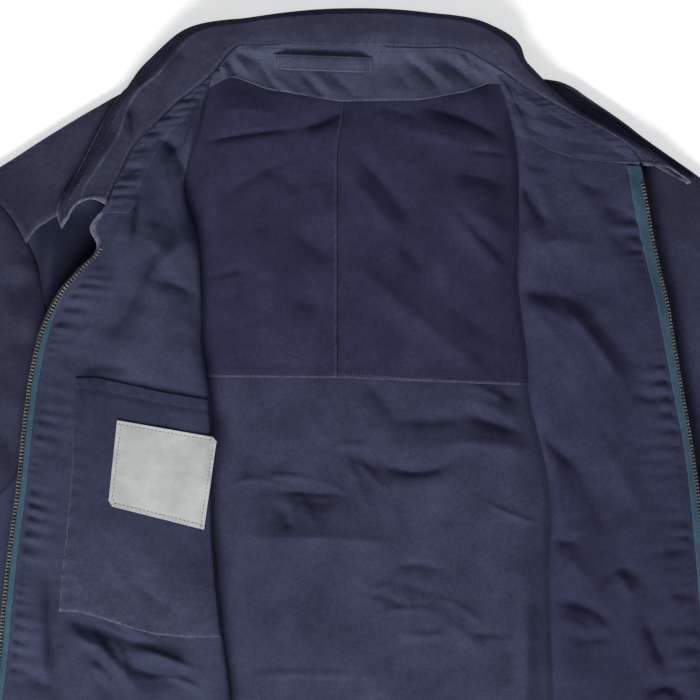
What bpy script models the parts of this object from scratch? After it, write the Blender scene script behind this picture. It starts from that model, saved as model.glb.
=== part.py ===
"""A windbreaker laid on its back, unzipped, with both fronts folded outward so that the inside shows.

Every piece of cloth is a closed wall built on a grid of points. A front runs from its side seam in
over the back, turns up in a fold and returns outward with its inside face up. X is across the
garment, Y runs from hem to collar, and Z stands off the surface that it lies on. Sizes are in
millimetres; left and right are the wearer's, so the wearer's right lies at -X.
"""

from collections import namedtuple

import bpy
import numpy as np

MM = 0.001

# Cloth
CLOTH = 1.5
GAP = 0.3
LAYER = CLOTH + GAP
TAPE = 1.0
LABEL = 1.0

# Where the middle of the drawn layout lies, so that the whole garment is centred on the origin
CENTRE_X = -0.73
CENTRE_Y = 105.24

# Zip
CHAIN_HEIGHT = 2.4
CHAIN_WIDTH = 4.5
TAPE_WIDTH = 11.0
EDGE_BAND = 20.0

# The zip's lower end on the wearer's right: slider with its pull, and the box that stops it
SLIDER_Y = -433.0
SLIDER_LENGTH = 11.0
SLIDER_INNER = 4.0
SLIDER_OUTER = 6.0
SLIDER_PLATE = 1.0
SLIDER_PLAY = 0.25
WEDGE_NEAR = 0.4
WEDGE_FAR = 2.0
BOW_LENGTH = 6.4
BOW_POST = 1.0
BOW_WIDTH = 2.4
BOW_HOLE = 2.4
BOW_BAR = 1.0
PULL_LENGTH = 24.0
PULL_WIDTH = 7.0
PULL_TIP_WIDTH = 5.0
PULL_THICKNESS = 1.4
PULL_PIN = 1.6
PULL_PIN_SIDES = 16
PULL_WINDOW_WIDTH = 3.2
PULL_WINDOW_START = 0.2
PULL_WINDOW_END = 5.0
PULL_REST = 15.0
BOX_LENGTH = 7.4
BOX_HEIGHT = 4.5
BOX_WIDTH = 9.0
PIN_LENGTH = 12.0
PIN_WIDTH = 3.0

# Levels of the middle of each wall above the surface
BACK_LEVEL = CLOTH / 2
YOKE_LEVEL = BACK_LEVEL + LAYER
FACING_LEVEL = YOKE_LEVEL + LAYER
FRONT_LEVEL = FACING_LEVEL + 0.2
LEAF_LIFT = LAYER

# The back yoke: where its halves meet, and the height of its lower seam
YOKE_CENTRE_X = -9.5
YOKE_CENTRE_SHIFT = 5.0
YOKE_BOTTOM = {"right": -19.0, "middle": -20.0, "left": -31.0}
YOKE_COLUMNS = 7
YOKE_ROWS = 13
# The inner end of each half: place beside the centre line, and lift; the right half laps over the left
YOKE_INNER = {
    "right": ((-21.0, 0.0), (-9.0, LAYER), (0.0, LAYER)),
    "left": ((40.0, 0.0), (15.0, 0.0), (-7.0, 0.0)),
}
BACK_COLUMNS = 16

# The facing under the neckline, and the pad where it crosses the yoke's lap and the hanger loop
FACING_COLUMNS = 17
FACING_ROWS = (0.0, 0.33, 0.66, 1.0)
NECK_SEAM = 0.6
PAD_CENTRE = -14.0
PAD_REACH = 52.0
PAD_RAMP = 22.0
LOOP_START = -55.0
LOOP_LENGTH = 71.0
LOOP_Y = 208.0
LOOP_DROP = 3.0
LOOP_WIDTH = 11.0
LOOP_LIFT = 2.4
LOOP_ENDS = 6.0
LOOP_ROWS = 11

# A front's columns: shares of its lower and upper layers, and the turns round its fold
LOWER_SHARES = (0.0, 0.14, 0.34, 0.56, 0.78, 1.0)
FOLD_TURNS = (-45.0, 0.0, 45.0, 90.0)
UPPER_SHARES = (0.22, 0.42, 0.58, 0.74, 0.885)
# How far each column of a front yoke's last row reaches towards the next row
YOKE_REACH = (0.95, 0.45, 0.1, 0.05, 0.05, 0.05)

# The collar's run from its neck edge to its tip
COLLAR_COLUMNS = 14
COLLAR_CLEARANCE = 3 * GAP
COLLAR_RISE = 2.0
COLLAR_RISE_SHARE = 0.25
COLLAR_TURN_SHARE = 0.08
COLLAR_LEAF_SHARE = 0.25

# A flattened sleeve's rounded edges
SLEEVE_EDGE = 0.55
SLEEVE_DIP = 0.35

SleeveRow = namedtuple("SleeveRow", "bow upper_x upper_y lower_x lower_y top")
FrontRow = namedtuple("FrontRow", "side_x side_y fold_x fold_y edge_x edge_y radius edge_z")
CollarRow = namedtuple("CollarRow", "roll_x roll_y roll_z bulge_x bulge_y bulge_z tip_x tip_y tip_z")
Ridge = namedtuple("Ridge", "x0 y0 x1 y1 width height")

# One row per line across a front: shoulder, armhole and side seam; fold; neck edge and zip edge.
FRONT_RIGHT = (
    FrontRow(-108, 207, -93, 203, -101, 198, 2.2, 11.0),
    FrontRow(-134, 196, -101, 191, -113, 188, 2.6, 11.5),
    FrontRow(-161, 184, -105, 180, -126, 178, 3.0, 12.5),
    FrontRow(-182, 174, -107, 168, -140, 164, 3.5, 14.0),
    FrontRow(-203, 163, -111, 152, -155, 149, 4.0, 15.5),
    FrontRow(-224, 150, -117, 134, -164, 131, 4.2, 17.0),
    FrontRow(-244, 137, -120, 119, -171, 117, 4.5, 18.5),
    FrontRow(-262, 126, -118, 104, -176, 104, 4.8, 20.0),
    FrontRow(-269, 119, -112, 86, -187, 88, 5.0, 22.0),
    FrontRow(-250, 103, -109, 70, -182, 74, 5.2, 23.0),
    FrontRow(-236, 82, -108, 52, -196, 58, 5.5, 23.0),
    FrontRow(-224, 52, -107, 32, -209, 43, 5.8, 21.0),
    FrontRow(-219, 18, -107, 6, -221, 20, 6.0, 18.0),
    FrontRow(-219, -12, -101, -36, -230, -14, 6.0, 16.5),
    FrontRow(-223, -46, -99, -63, -234, -39, 6.0, 15.5),
    FrontRow(-240, -88, -99, -96, -237, -66, 6.0, 15.0),
    FrontRow(-291, -140, -99, -130, -240, -96, 6.0, 14.5),
    FrontRow(-294, -180, -96, -168, -246, -140, 6.0, 14.0),
    FrontRow(-293, -225, -92, -207, -250, -178, 6.0, 13.5),
    FrontRow(-291, -275, -86, -258, -256, -238, 6.0, 13.0),
    FrontRow(-287, -325, -92, -312, -266, -300, 6.0, 12.0),
    FrontRow(-281, -365, -106, -358, -281, -352, 5.5, 10.5),
    FrontRow(-274, -398, -117, -398, -296, -398, 5.0, 9.0),
    FrontRow(-268, -447, -124, -447, -296, -447, 5.0, 9.0),
)
FRONT_LEFT = (
    FrontRow(117, 195.5, 104, 199, 112, 197, 2.2, 12.0),
    FrontRow(137, 189.5, 108, 191, 122, 190, 2.8, 12.8),
    FrontRow(155, 184, 112, 181, 140, 179, 3.4, 13.4),
    FrontRow(175, 175, 115, 171, 158, 169, 3.8, 13.6),
    FrontRow(196, 163, 117, 162, 178, 160, 4.0, 13.8),
    FrontRow(213, 152, 119, 155, 196, 149, 4.2, 14.0),
    FrontRow(230, 140, 120, 148, 204, 141, 4.4, 14.0),
    FrontRow(250, 126, 121, 140, 209, 133, 4.6, 14.0),
    FrontRow(276, 106, 122, 124, 212, 118, 5.0, 14.0),
    FrontRow(272, 84, 122, 106, 215, 102, 5.2, 14.0),
    FrontRow(267, 56, 122, 84, 218, 86, 5.5, 13.5),
    FrontRow(262, 26, 121, 56, 223, 62, 5.8, 13.0),
    FrontRow(258, -6, 124, 26, 229, 36, 6.0, 12.5),
    FrontRow(257, -36, 128, -4, 235, 2, 6.0, 12.5),
    FrontRow(263, -70, 130, -36, 241, -34, 6.0, 12.5),
    FrontRow(283, -112, 139, -72, 247, -68, 6.0, 13.0),
    FrontRow(312, -145, 145, -108, 252, -104, 6.0, 13.0),
    FrontRow(315, -185, 144, -152, 256, -146, 6.0, 13.0),
    FrontRow(316, -230, 145, -202, 260, -194, 6.0, 13.0),
    FrontRow(315, -278, 147, -256, 264, -248, 6.0, 12.5),
    FrontRow(311, -325, 148, -310, 267, -304, 6.0, 12.0),
    FrontRow(305, -365, 148, -358, 269, -354, 5.5, 11.0),
    FrontRow(297, -398, 146, -398, 268, -398, 5.0, 10.0),
    FrontRow(290, -447, 142, -447, 262, -447, 5.0, 10.0),
)
WAIST_Y = -398.0
HEM_Y = -447.0
NECK_ROWS = 8
TIP_ROW = 8
ARMPIT_ROW = 16
WAIST_ROW = 22
POCKET_TOP_ROW = 13
POCKET_BOTTOM_ROW = 18
LABEL_TOP_ROW = 14
LABEL_BOTTOM_ROW = 16
ZIP_TOP_RIGHT = 9
ZIP_TOP_LEFT = 8
FACING_END_RIGHT = 8
FACING_END_LEFT = 7
FRONT_YOKE_END = 9

# Columns of a front's grid where a piece that lies on it ends
LOWER_END = 5
FOLD_TOP = 9
LABEL_SIDE = 12
POCKET_SIDE = 14
BAND_SIDE = 15
TAPE_SIDE = 16
CHAIN_SIDE = 17
EDGE_SIDE = 18

# The back's neckline between the two shoulder seams, and the collar's height along it
BACK_NECK = ((-86, 216), (-63, 221), (-7, 220), (50, 219), (83, 217), (101, 207))
NECK_HEIGHTS = (9.8, 7.5, 6.6, 6.6, 8.0, 10.2)
# The lower edge of the facing that lies under the neckline
FACING_EDGE = ((-84, 197), (-60, 188), (-7, 179), (50, 180), (83, 186), (99, 192))

# One row per line across the collar, from the wearer's right front round the neck to the left.
COLLAR = (
    CollarRow(-189, 110, 27, -199, 106, 21, -212, 88, 10.5),
    CollarRow(-189, 121, 28, -200, 115, 21, -208, 102, 10.5),
    CollarRow(-182, 137, 29, -192, 133, 21, -199, 125, 10.5),
    CollarRow(-170, 159, 30, -180, 158, 21, -187, 153, 10.5),
    CollarRow(-158, 180, 30, -168, 180, 20, -174, 174, 10.5),
    CollarRow(-150, 190, 29, -160, 191, 19, -165, 187, 10.8),
    CollarRow(-141, 198, 28, -152, 201, 15, -155, 190, 0.75),
    CollarRow(-131, 210, 28, -142, 212, 14, -144, 180, 0.75),
    CollarRow(-115, 226, 27, -122, 230, 13, -108, 176, 0.75),
    CollarRow(-71, 236, 26, -71, 240, 13, -71, 173, 0.75),
    CollarRow(-7, 242, 26, -7, 246.5, 13, -7, 171, 0.75),
    CollarRow(53, 240, 26, 55, 243.5, 13, 50, 173, 0.75),
    CollarRow(96, 232, 25, 101, 235, 12, 86, 176, 0.75),
    CollarRow(118, 216, 23, 123, 219.5, 11, 112, 180, 0.75),
    CollarRow(127, 208, 20, 131, 209, 10, 130, 199, 0.75),
    CollarRow(135, 202, 18, 139, 205, 14, 140, 201, 10.8),
    CollarRow(147, 190, 16, 151, 189, 12, 146, 171, 10.5),
    CollarRow(164, 175, 15, 167, 173, 11.5, 161, 150, 10.3),
    CollarRow(186, 160, 15, 189, 158, 11.5, 181, 138, 10.3),
    CollarRow(209, 149, 15, 213, 147, 11.5, 200, 128, 10.3),
    CollarRow(225, 139, 14.5, 231, 135, 11.0, 219, 120, 9.8),
    CollarRow(229, 132, 14, 247, 121, 12, 240, 114, 11.0),
)

# One row per line across a sleeve: how far it keeps the armhole's curve, its upper and lower edge,
# and the height of its top layer.
SLEEVE_RIGHT = (
    SleeveRow(1.00, -269, 119, -291, -140, 4.2),
    SleeveRow(0.65, -304, 100, -305, -152, 5.0),
    SleeveRow(0.30, -356, 68, -325, -190, 5.6),
    SleeveRow(0.10, -420, 18, -352, -232, 5.8),
    SleeveRow(0.00, -474, -46, -382, -272, 5.8),
    SleeveRow(0.00, -524, -130, -416, -312, 5.8),
    SleeveRow(0.00, -564, -222, -452, -354, 5.6),
    SleeveRow(0.00, -596, -322, -488, -398, 5.4),
)
SLEEVE_LEFT = (
    SleeveRow(1.00, 276, 106, 312, -145, 4.2),
    SleeveRow(0.65, 311, 88, 326, -157, 5.0),
    SleeveRow(0.30, 362, 56, 344, -197, 5.6),
    SleeveRow(0.10, 426, 6, 368, -240, 5.8),
    SleeveRow(0.00, 479, -58, 396, -280, 5.8),
    SleeveRow(0.00, 528, -142, 428, -320, 5.8),
    SleeveRow(0.00, 567, -234, 463, -362, 5.6),
    SleeveRow(0.00, 598, -334, 498, -406, 5.4),
)
CUFF_DEPTH = 52.0
SEAM_SHIFT = 0.6
CUFF_TOP = 5.2

# Largest folds, each a ridge between two points
LAPEL_RIDGES_RIGHT = (
    Ridge(-158, 120, -140, 40, 16, 5.0),
    Ridge(-125, 60, -118, -20, 14, 3.0),
    Ridge(-150, -230, -170, -300, 22, 4.0),
)
LAPEL_RIDGES_LEFT = (
    Ridge(140, 30, 180, -30, 16, 4.0),
    Ridge(175, 100, 215, 40, 16, 3.0),
    Ridge(150, -150, 185, -190, 18, 4.0),
    Ridge(170, -250, 200, -330, 22, 4.0),
)

CLOTH_NAVY = ((0.034, 0.040, 0.075), 0.85, 0.0)
FACING_NAVY = ((0.042, 0.049, 0.088), 0.85, 0.0)
TAPE_TEAL = ((0.045, 0.110, 0.145), 0.80, 0.0)
BRASS = ((0.330, 0.240, 0.120), 0.38, 1.0)
LABEL_WHITE = ((0.520, 0.540, 0.530), 0.80, 0.0)


def smooth(t):
    """A soft step from 0 to 1."""
    t = np.clip(t, 0.0, 1.0)
    return t * t * (3 - 2 * t)


def bed(y):
    """How far the collar's leaf, lying under the back, lifts the cloth above it."""
    return LEAF_LIFT * smooth((y - 90) / 80)


def ridge_height(ridges, x, y):
    """The folds' height at a point of the layout."""
    height = 0.0
    for ridge in ridges:
        run_x, run_y = ridge.x1 - ridge.x0, ridge.y1 - ridge.y0
        along = ((x - ridge.x0) * run_x + (y - ridge.y0) * run_y) / (run_x**2 + run_y**2)
        inside = np.clip(along, 0.0, 1.0)
        away_x = x - ridge.x0 - inside * run_x
        away_y = y - ridge.y0 - inside * run_y
        height += ridge.height * np.exp(-(away_x**2 + away_y**2) / ridge.width**2)
    return height


def spline(controls, count):
    """Points along a soft curve inside its control points, through the first and the last."""
    controls = np.asarray(controls, float)
    middles = (controls[1:] + controls[:-1]) / 2
    starts = np.vstack([controls[:1], middles[1:-1]])
    ends = np.vstack([middles[1:-1], controls[-1:]])
    corners = controls[1:-1]
    found = []
    for place in np.linspace(0.0, len(corners), count):
        span = min(int(place), len(corners) - 1)
        t = place - span
        found.append(starts[span] * (1 - t) ** 2 + corners[span] * 2 * t * (1 - t) + ends[span] * t**2)
    return np.array(found)


def normals(points, ring=False):
    """The unit normal at each point of a grid; ring closes the second direction."""
    down = np.gradient(points, axis=0)
    if ring:
        padded = np.concatenate([points[:, -1:], points, points[:, :1]], axis=1)
        across = np.gradient(padded, axis=1)[:, 1:-1]
    else:
        across = np.gradient(points, axis=1)
    found = np.cross(down, across)
    return found / np.linalg.norm(found, axis=2, keepdims=True)


def material(name, look):
    """A plain Principled material."""
    made = bpy.data.materials.new(name)
    made.use_nodes = True
    shader = made.node_tree.nodes["Principled BSDF"]
    color, roughness, metallic = look
    shader.inputs["Base Color"].default_value = (*color, 1.0)
    shader.inputs["Roughness"].default_value = roughness
    shader.inputs["Metallic"].default_value = metallic
    return made


def solid(name, points, faces, look, pivot=None):
    """An object from points in the layout's millimetres; its origin is its pivot, if it has one."""
    shift = np.array([CENTRE_X, CENTRE_Y, 0.0])
    origin = np.zeros(3) if pivot is None else np.asarray(pivot) + shift
    mesh = bpy.data.meshes.new(name)
    mesh.from_pydata(((np.asarray(points) + shift - origin) * MM).tolist(), [], faces)
    mesh.materials.append(material(name, look))
    made = bpy.data.objects.new(name, mesh)
    made.location = origin * MM
    bpy.context.scene.collection.objects.link(made)
    return made


def shell_faces(rows, columns, ring):
    """Triangles of the two sides and the open edges of a wall on a grid."""
    size = rows * columns
    spans = columns if ring else columns - 1
    faces = []

    def strip(a, b):
        faces.append((a, b, b + size))
        faces.append((a, b + size, a + size))

    for row in range(rows - 1):
        for column in range(spans):
            a = row * columns + column
            b = row * columns + (column + 1) % columns
            c, d = b + columns, a + columns
            faces.extend([(a, d, c), (a, c, b)])
            faces.extend([(a + size, c + size, d + size), (a + size, b + size, c + size)])
    for column in range(spans):
        following = (column + 1) % columns
        strip(column, following)
        strip((rows - 1) * columns + following, (rows - 1) * columns + column)
    if not ring:
        for row in range(rows - 1):
            strip((row + 1) * columns, row * columns)
            strip(row * columns + columns - 1, (row + 2) * columns - 1)
    return faces


def wall(name, points, look, thickness=CLOTH, away=None, lift=0.0, ring=False):
    """A closed wall of cloth whose middle is the grid of points, moved out by lift."""
    away = normals(points, ring) if away is None else away
    middle = points + away * lift
    outer = (middle + away * thickness / 2).reshape(-1, 3)
    inner = (middle - away * thickness / 2).reshape(-1, 3)
    rows, columns = points.shape[:2]
    return solid(name, np.vstack([outer, inner]), shell_faces(rows, columns, ring), look)


def front_level(y):
    """The height of a front's lower layer: on the back yoke above, on the back below it."""
    on_yoke = smooth((y + 82) / 45)
    return YOKE_LEVEL + (FRONT_LEVEL - YOKE_LEVEL) * on_yoke + bed(y)


def front_grid(rows, ridges):
    """The middle of a front's wall: lower layer, fold, and upper layer out to the zip."""
    grid = []
    for row in rows:
        side = np.array([row.side_x, row.side_y], float)
        fold = np.array([row.fold_x, row.fold_y], float)
        edge = np.array([row.edge_x, row.edge_y], float)
        inward = (fold - side) / np.linalg.norm(fold - side)
        length = np.linalg.norm(edge - fold)
        outward = (edge - fold) / length
        flat_end = np.linalg.norm(fold - side) - row.radius
        line = []
        for share in LOWER_SHARES:
            place = side + inward * flat_end * share
            line.append((*place, front_level(place[1])))
        low = line[-1][2]
        for angle in FOLD_TURNS:
            turn = np.radians(angle)
            back = row.radius * (1 - np.cos(turn))
            direction = -inward if angle < 0 else outward
            place = fold + direction * back
            line.append((*place, low + row.radius * (1 + np.sin(turn))))
        high = low + 2 * row.radius
        last = length - min(EDGE_BAND, 0.6 * length)
        stops = [row.radius + (last - row.radius) * share for share in UPPER_SHARES]
        stops += [last, length - min(TAPE_WIDTH, 0.35 * length)]
        stops += [length - min(CHAIN_WIDTH, 0.16 * length), length]
        for stop in stops:
            place = fold + outward * stop
            part = (stop - row.radius) / (length - row.radius)
            free = smooth(part * 4) * smooth((1 - part) * 4) * smooth((length - 30) / 40)
            height = high + (row.edge_z - high) * part
            height += free * ridge_height(ridges, *place)
            line.append((*place, height))
        grid.append(line)
    return np.array(grid)


def piece(grid, rows, columns):
    """Part of a grid, between two rows and two columns, both included."""
    return grid[rows[0] : rows[1] + 1, columns[0] : columns[1] + 1]


def build_front(side, table, ridges, inward, zip_top, zip_end_y, facing_end, facing_columns):
    """One front with what is sewn to it; inward turns the grid's normals to its inside face."""
    grid = front_grid(table, ridges)
    away = normals(grid)
    inside = away * inward
    last = len(table) - 1

    def layer(name, rows, columns, lift, look, thickness=CLOTH):
        points = piece(grid, rows, columns) + piece(inside, rows, columns) * lift
        wall(name, points, look, thickness, piece(away, rows, columns))

    layer(f"front_{side}", (0, WAIST_ROW), (0, EDGE_SIDE), 0.0, CLOTH_NAVY)
    band = grid[WAIST_ROW : last + 1, :EDGE_SIDE].copy()
    band[0, :, 1] -= GAP
    wall(f"waistband_{side}", band, CLOTH_NAVY, away=away[WAIST_ROW : last + 1, :EDGE_SIDE])
    layer(f"front_neck_facing_{side}", (0, facing_end), facing_columns, LAYER, FACING_NAVY)
    tape_lift = CLOTH / 2 + GAP + TAPE / 2
    chain_lift = tape_lift + TAPE / 2 + GAP + CHAIN_HEIGHT / 2
    whole = grid[last].copy()
    ending = (zip_end_y - WAIST_Y) / (HEM_Y - WAIST_Y)
    grid[last] = grid[WAIST_ROW] * (1 - ending) + whole * ending
    zip_rows, chain = (zip_top, last), (CHAIN_SIDE, EDGE_SIDE)
    layer(f"zip_tape_{side}", zip_rows, (TAPE_SIDE, EDGE_SIDE), tape_lift, TAPE_TEAL, TAPE)
    layer(f"zip_chain_{side}", zip_rows, chain, chain_lift, BRASS, CHAIN_HEIGHT)
    grid[last] = whole
    rows, columns = (0, FRONT_YOKE_END), (0, LOWER_END)
    yoke = piece(grid, rows, columns).copy()
    following = grid[FRONT_YOKE_END + 1, : LOWER_END + 1]
    reach = np.array(YOKE_REACH)[:, None]
    yoke[-1] = yoke[-1] * (1 - reach) + following * reach
    yoke -= piece(inside, rows, columns) * LAYER
    wall(f"front_yoke_{side}", yoke, CLOTH_NAVY, away=piece(away, rows, columns))
    return grid, away


def back_row(left, right, count):
    """Evenly spaced points between the two sides of the back."""
    return [np.array(left) * (1 - t) + np.array(right) * t for t in np.linspace(0, 1, count)]


def neck_points(points, count):
    """Points along a drawn line, evenly spaced along its length."""
    points = np.asarray(points, float)
    lengths = np.concatenate([[0], np.cumsum(np.linalg.norm(np.diff(points, axis=0), axis=1))])
    wanted = np.linspace(0, lengths[-1], count)
    return np.stack([np.interp(wanted, lengths, points[:, axis]) for axis in range(2)], axis=1)


def yoke_ends(table, neck_end, bottom):
    """The outer ends of a yoke half's rows: neck, shoulder and armhole, and lower seam."""
    ends = [neck_end] + [(row.side_x, row.side_y) for row in table[:YOKE_ROWS]]
    return ends + [(table[YOKE_ROWS].side_x, bottom)]


def build_yoke_half(side):
    """One half of the back yoke, from its armhole to its inner edge."""
    right = yoke_ends(FRONT_RIGHT, BACK_NECK[0], YOKE_BOTTOM["right"])
    left = yoke_ends(FRONT_LEFT, BACK_NECK[-1], YOKE_BOTTOM["left"])
    outer = right if side == "right" else left
    middles = [(one[1] + other[1]) / 2 for one, other in zip(right, left)]
    middles[-1] = YOKE_BOTTOM["middle"]
    neck_x, neck_y = np.array(BACK_NECK).T
    grid = []
    for row, ((start_x, start_y), middle_y) in enumerate(zip(outer, middles)):
        centre = YOKE_CENTRE_X + YOKE_CENTRE_SHIFT * smooth((middle_y - 142) / 35)
        inner = [(centre + beside, lift) for beside, lift in YOKE_INNER[side]]
        plain = np.linspace(start_x, inner[0][0], YOKE_COLUMNS)[:-1]
        line = []
        for x, lift in [(x, 0.0) for x in plain] + inner:
            y = start_y + (middle_y - start_y) * (x - start_x) / (centre - start_x)
            if row == 0:
                y = np.interp(x, neck_x, neck_y) - NECK_SEAM
            line.append((x, y, YOKE_LEVEL + bed(y) + lift))
        grid.append(line)
    wall(f"back_yoke_{side}", np.array(grid), CLOTH_NAVY)


def pad(x):
    """The facing's lift where it crosses the yoke's lap and carries the hanger loop."""
    return LAYER * smooth((PAD_REACH - np.abs(x - PAD_CENTRE)) / PAD_RAMP)


def build_back():
    """The back panel, the two yoke halves inside it, the facing under the neckline and its loop."""
    plan = [neck_points(BACK_NECK, BACK_COLUMNS) - [0.0, NECK_SEAM]]
    for right, left in zip(FRONT_RIGHT, FRONT_LEFT):
        ends = (right.side_x, right.side_y), (left.side_x, left.side_y)
        plan.append(back_row(*ends, BACK_COLUMNS))
    plan = np.array(plan)
    body, band = plan[: WAIST_ROW + 2], plan[WAIST_ROW + 1 :].copy()
    band[0, :, 1] -= GAP
    for name, part in (("back_panel", body), ("waistband_back", band)):
        level = BACK_LEVEL + bed(part[..., 1])
        wall(name, np.dstack([part, level]), CLOTH_NAVY)
    build_yoke_half("right")
    build_yoke_half("left")

    upper = neck_points(BACK_NECK, FACING_COLUMNS) - [0.0, NECK_SEAM]
    lower = neck_points(FACING_EDGE, FACING_COLUMNS)
    level = FACING_LEVEL + LEAF_LIFT
    grid = []
    for part in FACING_ROWS:
        plan = upper * (1 - part) + lower * part
        grid.append(np.column_stack([plan, level + pad(plan[:, 0])]))
    wall("back_neck_facing", np.array(grid), FACING_NAVY)

    loop = []
    for part in np.linspace(0, 1, LOOP_ROWS):
        x = LOOP_START + LOOP_LENGTH * part
        y = LOOP_Y - LOOP_DROP * part
        z = level + pad(x) + LAYER
        z += LOOP_LIFT * smooth(part * LOOP_ENDS) * smooth((1 - part) * LOOP_ENDS)
        loop.append([(x, y - LOOP_WIDTH / 2, z), (x, y + LOOP_WIDTH / 2, z)])
    wall("hanger_loop", np.array(loop), FACING_NAVY)


def build_collar(right, left):
    """The collar rolls off the neck edge; its leaf lies under the back and over the shoulders."""
    edges = [right[row, EDGE_SIDE] for row in range(NECK_ROWS - 1, -1, -1)]
    edges += [np.array([*point, height]) for point, height in zip(BACK_NECK, NECK_HEIGHTS)]
    edges += [left[row, EDGE_SIDE] for row in range(NECK_ROWS)]
    grid = []
    for edge, row in zip(edges, COLLAR):
        roll = np.array([row.roll_x, row.roll_y, row.roll_z], float)
        bulge = np.array([row.bulge_x, row.bulge_y, row.bulge_z], float)
        tip = np.array([row.tip_x, row.tip_y, row.tip_z], float)
        away = (roll - edge) * [1, 1, 0]
        away /= np.linalg.norm(away)
        start = edge + away * (CLOTH / 2 + COLLAR_CLEARANCE)
        rise = start + (roll - start) * COLLAR_RISE_SHARE + [0, 0, COLLAR_RISE]
        turn = bulge + (tip - bulge) * COLLAR_TURN_SHARE
        leaf = bulge + (tip - bulge) * COLLAR_LEAF_SHARE
        turn[2] = leaf[2] = tip[2]
        grid.append(spline([start, rise, roll, bulge, turn, leaf, tip], COLLAR_COLUMNS))
    wall("collar", np.array(grid), CLOTH_NAVY)


def sleeve_ring(row, arm):
    """One ring round a flattened sleeve, starting at its upper edge, over the top layer."""
    upper = np.array([row.upper_x, row.upper_y], float)
    lower = np.array([row.lower_x, row.lower_y], float)
    chord = arm[-1] - arm[0]
    parts = ((arm - arm[0]) @ chord) / (chord @ chord)
    bows = (arm - arm[0]) - parts[:, None] * chord
    half = (row.top - BACK_LEVEL) / 2
    middle = BACK_LEVEL + half
    inset = (lower - upper) / np.linalg.norm(lower - upper) * half * SLEEVE_EDGE
    dip = half * SLEEVE_DIP
    ring = []
    for part, bow in zip(parts, bows):
        place = upper + (lower - upper) * part + bow * row.bow
        if 0 < part < 1:
            ring.append((*place, row.top))
        else:
            ring.append((*place, middle))
    first = np.array(ring[0])
    ring.insert(1, (*(first[:2] + inset), row.top - dip))
    ring.insert(-1, (*(np.array(ring[-1])[:2] - inset), row.top - dip))
    ring.append((*(lower - inset), BACK_LEVEL + dip))
    for part, bow in list(zip(parts, bows))[-2:0:-1]:
        place = upper + (lower - upper) * part + bow * row.bow
        ring.append((*place, BACK_LEVEL))
    ring.append((*(first[:2] + inset), BACK_LEVEL + dip))
    return ring


def build_sleeve(side, table, sizes, outward):
    """A flattened sleeve from the armhole to the wrist, and its cuff."""
    arm = np.array([(row.side_x, row.side_y) for row in table[TIP_ROW : ARMPIT_ROW + 1]], float)
    grid = np.array([sleeve_ring(row, arm) for row in sizes])
    grid[0, :, 0] += SEAM_SHIFT * outward
    wall(f"sleeve_{side}", grid, CLOTH_NAVY, ring=True)
    last, before = sizes[-1], sizes[-2]
    run = np.array([last.upper_x - before.upper_x, last.upper_y - before.upper_y], float)
    run += np.array([last.lower_x - before.lower_x, last.lower_y - before.lower_y], float)
    run /= np.linalg.norm(run)
    cuff = []
    for reach in (GAP, CUFF_DEPTH / 3, CUFF_DEPTH * 2 / 3, CUFF_DEPTH):
        shift = run * reach
        row = SleeveRow(
            0.0,
            last.upper_x + shift[0],
            last.upper_y + shift[1],
            last.lower_x + shift[0],
            last.lower_y + shift[1],
            last.top - (last.top - CUFF_TOP) * reach / CUFF_DEPTH,
        )
        cuff.append(sleeve_ring(row, arm))
    wall(f"cuff_{side}", np.array(cuff), CLOTH_NAVY, ring=True)


def block(name, low, high, look):
    """A plain block between two corners."""
    (x0, y0, z0), (x1, y1, z1) = low, high
    points = [(x, y, z) for z in (z0, z1) for y in (y0, y1) for x in (x0, x1)]
    faces = [(0, 2, 3, 1), (4, 5, 7, 6), (0, 1, 5, 4), (2, 6, 7, 3), (0, 4, 6, 2), (1, 3, 7, 5)]
    return solid(name, points, faces, look)


def joined(base, others):
    """Adds other solids to a base, and keeps them out of the finished part."""
    for other in others:
        union = base.modifiers.new(other.name, "BOOLEAN")
        union.operation = "UNION"
        union.object = other
        other.hide_render = True
        other.hide_viewport = True


def build_slider(edge_x, edge_z):
    """The slider round the chain's end; its bow is on the garment's outer side, which faces down."""
    tape_bottom = edge_z + CLOTH / 2 + GAP
    chain_top = tape_bottom + TAPE + GAP + CHAIN_HEIGHT
    under = tape_bottom - SLIDER_PLAY
    over = chain_top + SLIDER_PLAY
    y0, y1 = SLIDER_Y - SLIDER_LENGTH / 2, SLIDER_Y + SLIDER_LENGTH / 2
    x0, x1 = edge_x - SLIDER_OUTER, edge_x + SLIDER_INNER
    lower = block("zip_slider", (x0, y0, under - SLIDER_PLATE), (x1, y1, under), BRASS)
    upper = block("slider_upper", (x0, y0, over), (x1, y1, over + SLIDER_PLATE), BRASS)
    inset = SLIDER_PLATE / 2
    wedge_low = (edge_x - WEDGE_FAR, y0 + inset, under - inset)
    wedge_high = (edge_x - WEDGE_NEAR, y1 - inset, over + inset)
    wedge = block("slider_wedge", wedge_low, wedge_high, BRASS)
    centre_x = edge_x - (WEDGE_NEAR + WEDGE_FAR) / 2
    side0, side1 = centre_x - BOW_WIDTH / 2, centre_x + BOW_WIDTH / 2
    face = under - SLIDER_PLATE
    foot = face - BOW_HOLE
    end0, end1 = SLIDER_Y - BOW_LENGTH / 2, SLIDER_Y + BOW_LENGTH / 2
    bar = block("bow_bar", (side0, end0, foot - BOW_BAR), (side1, end1, foot), BRASS)
    tops = face + inset
    post0 = block("bow_post_low", (side0, end0, foot - inset), (side1, end0 + BOW_POST, tops), BRASS)
    post1 = block("bow_post_high", (side0, end1 - BOW_POST, foot - inset), (side1, end1, tops), BRASS)
    joined(lower, [wedge, upper, post0, post1, bar])
    return centre_x, (face + foot) / 2


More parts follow.
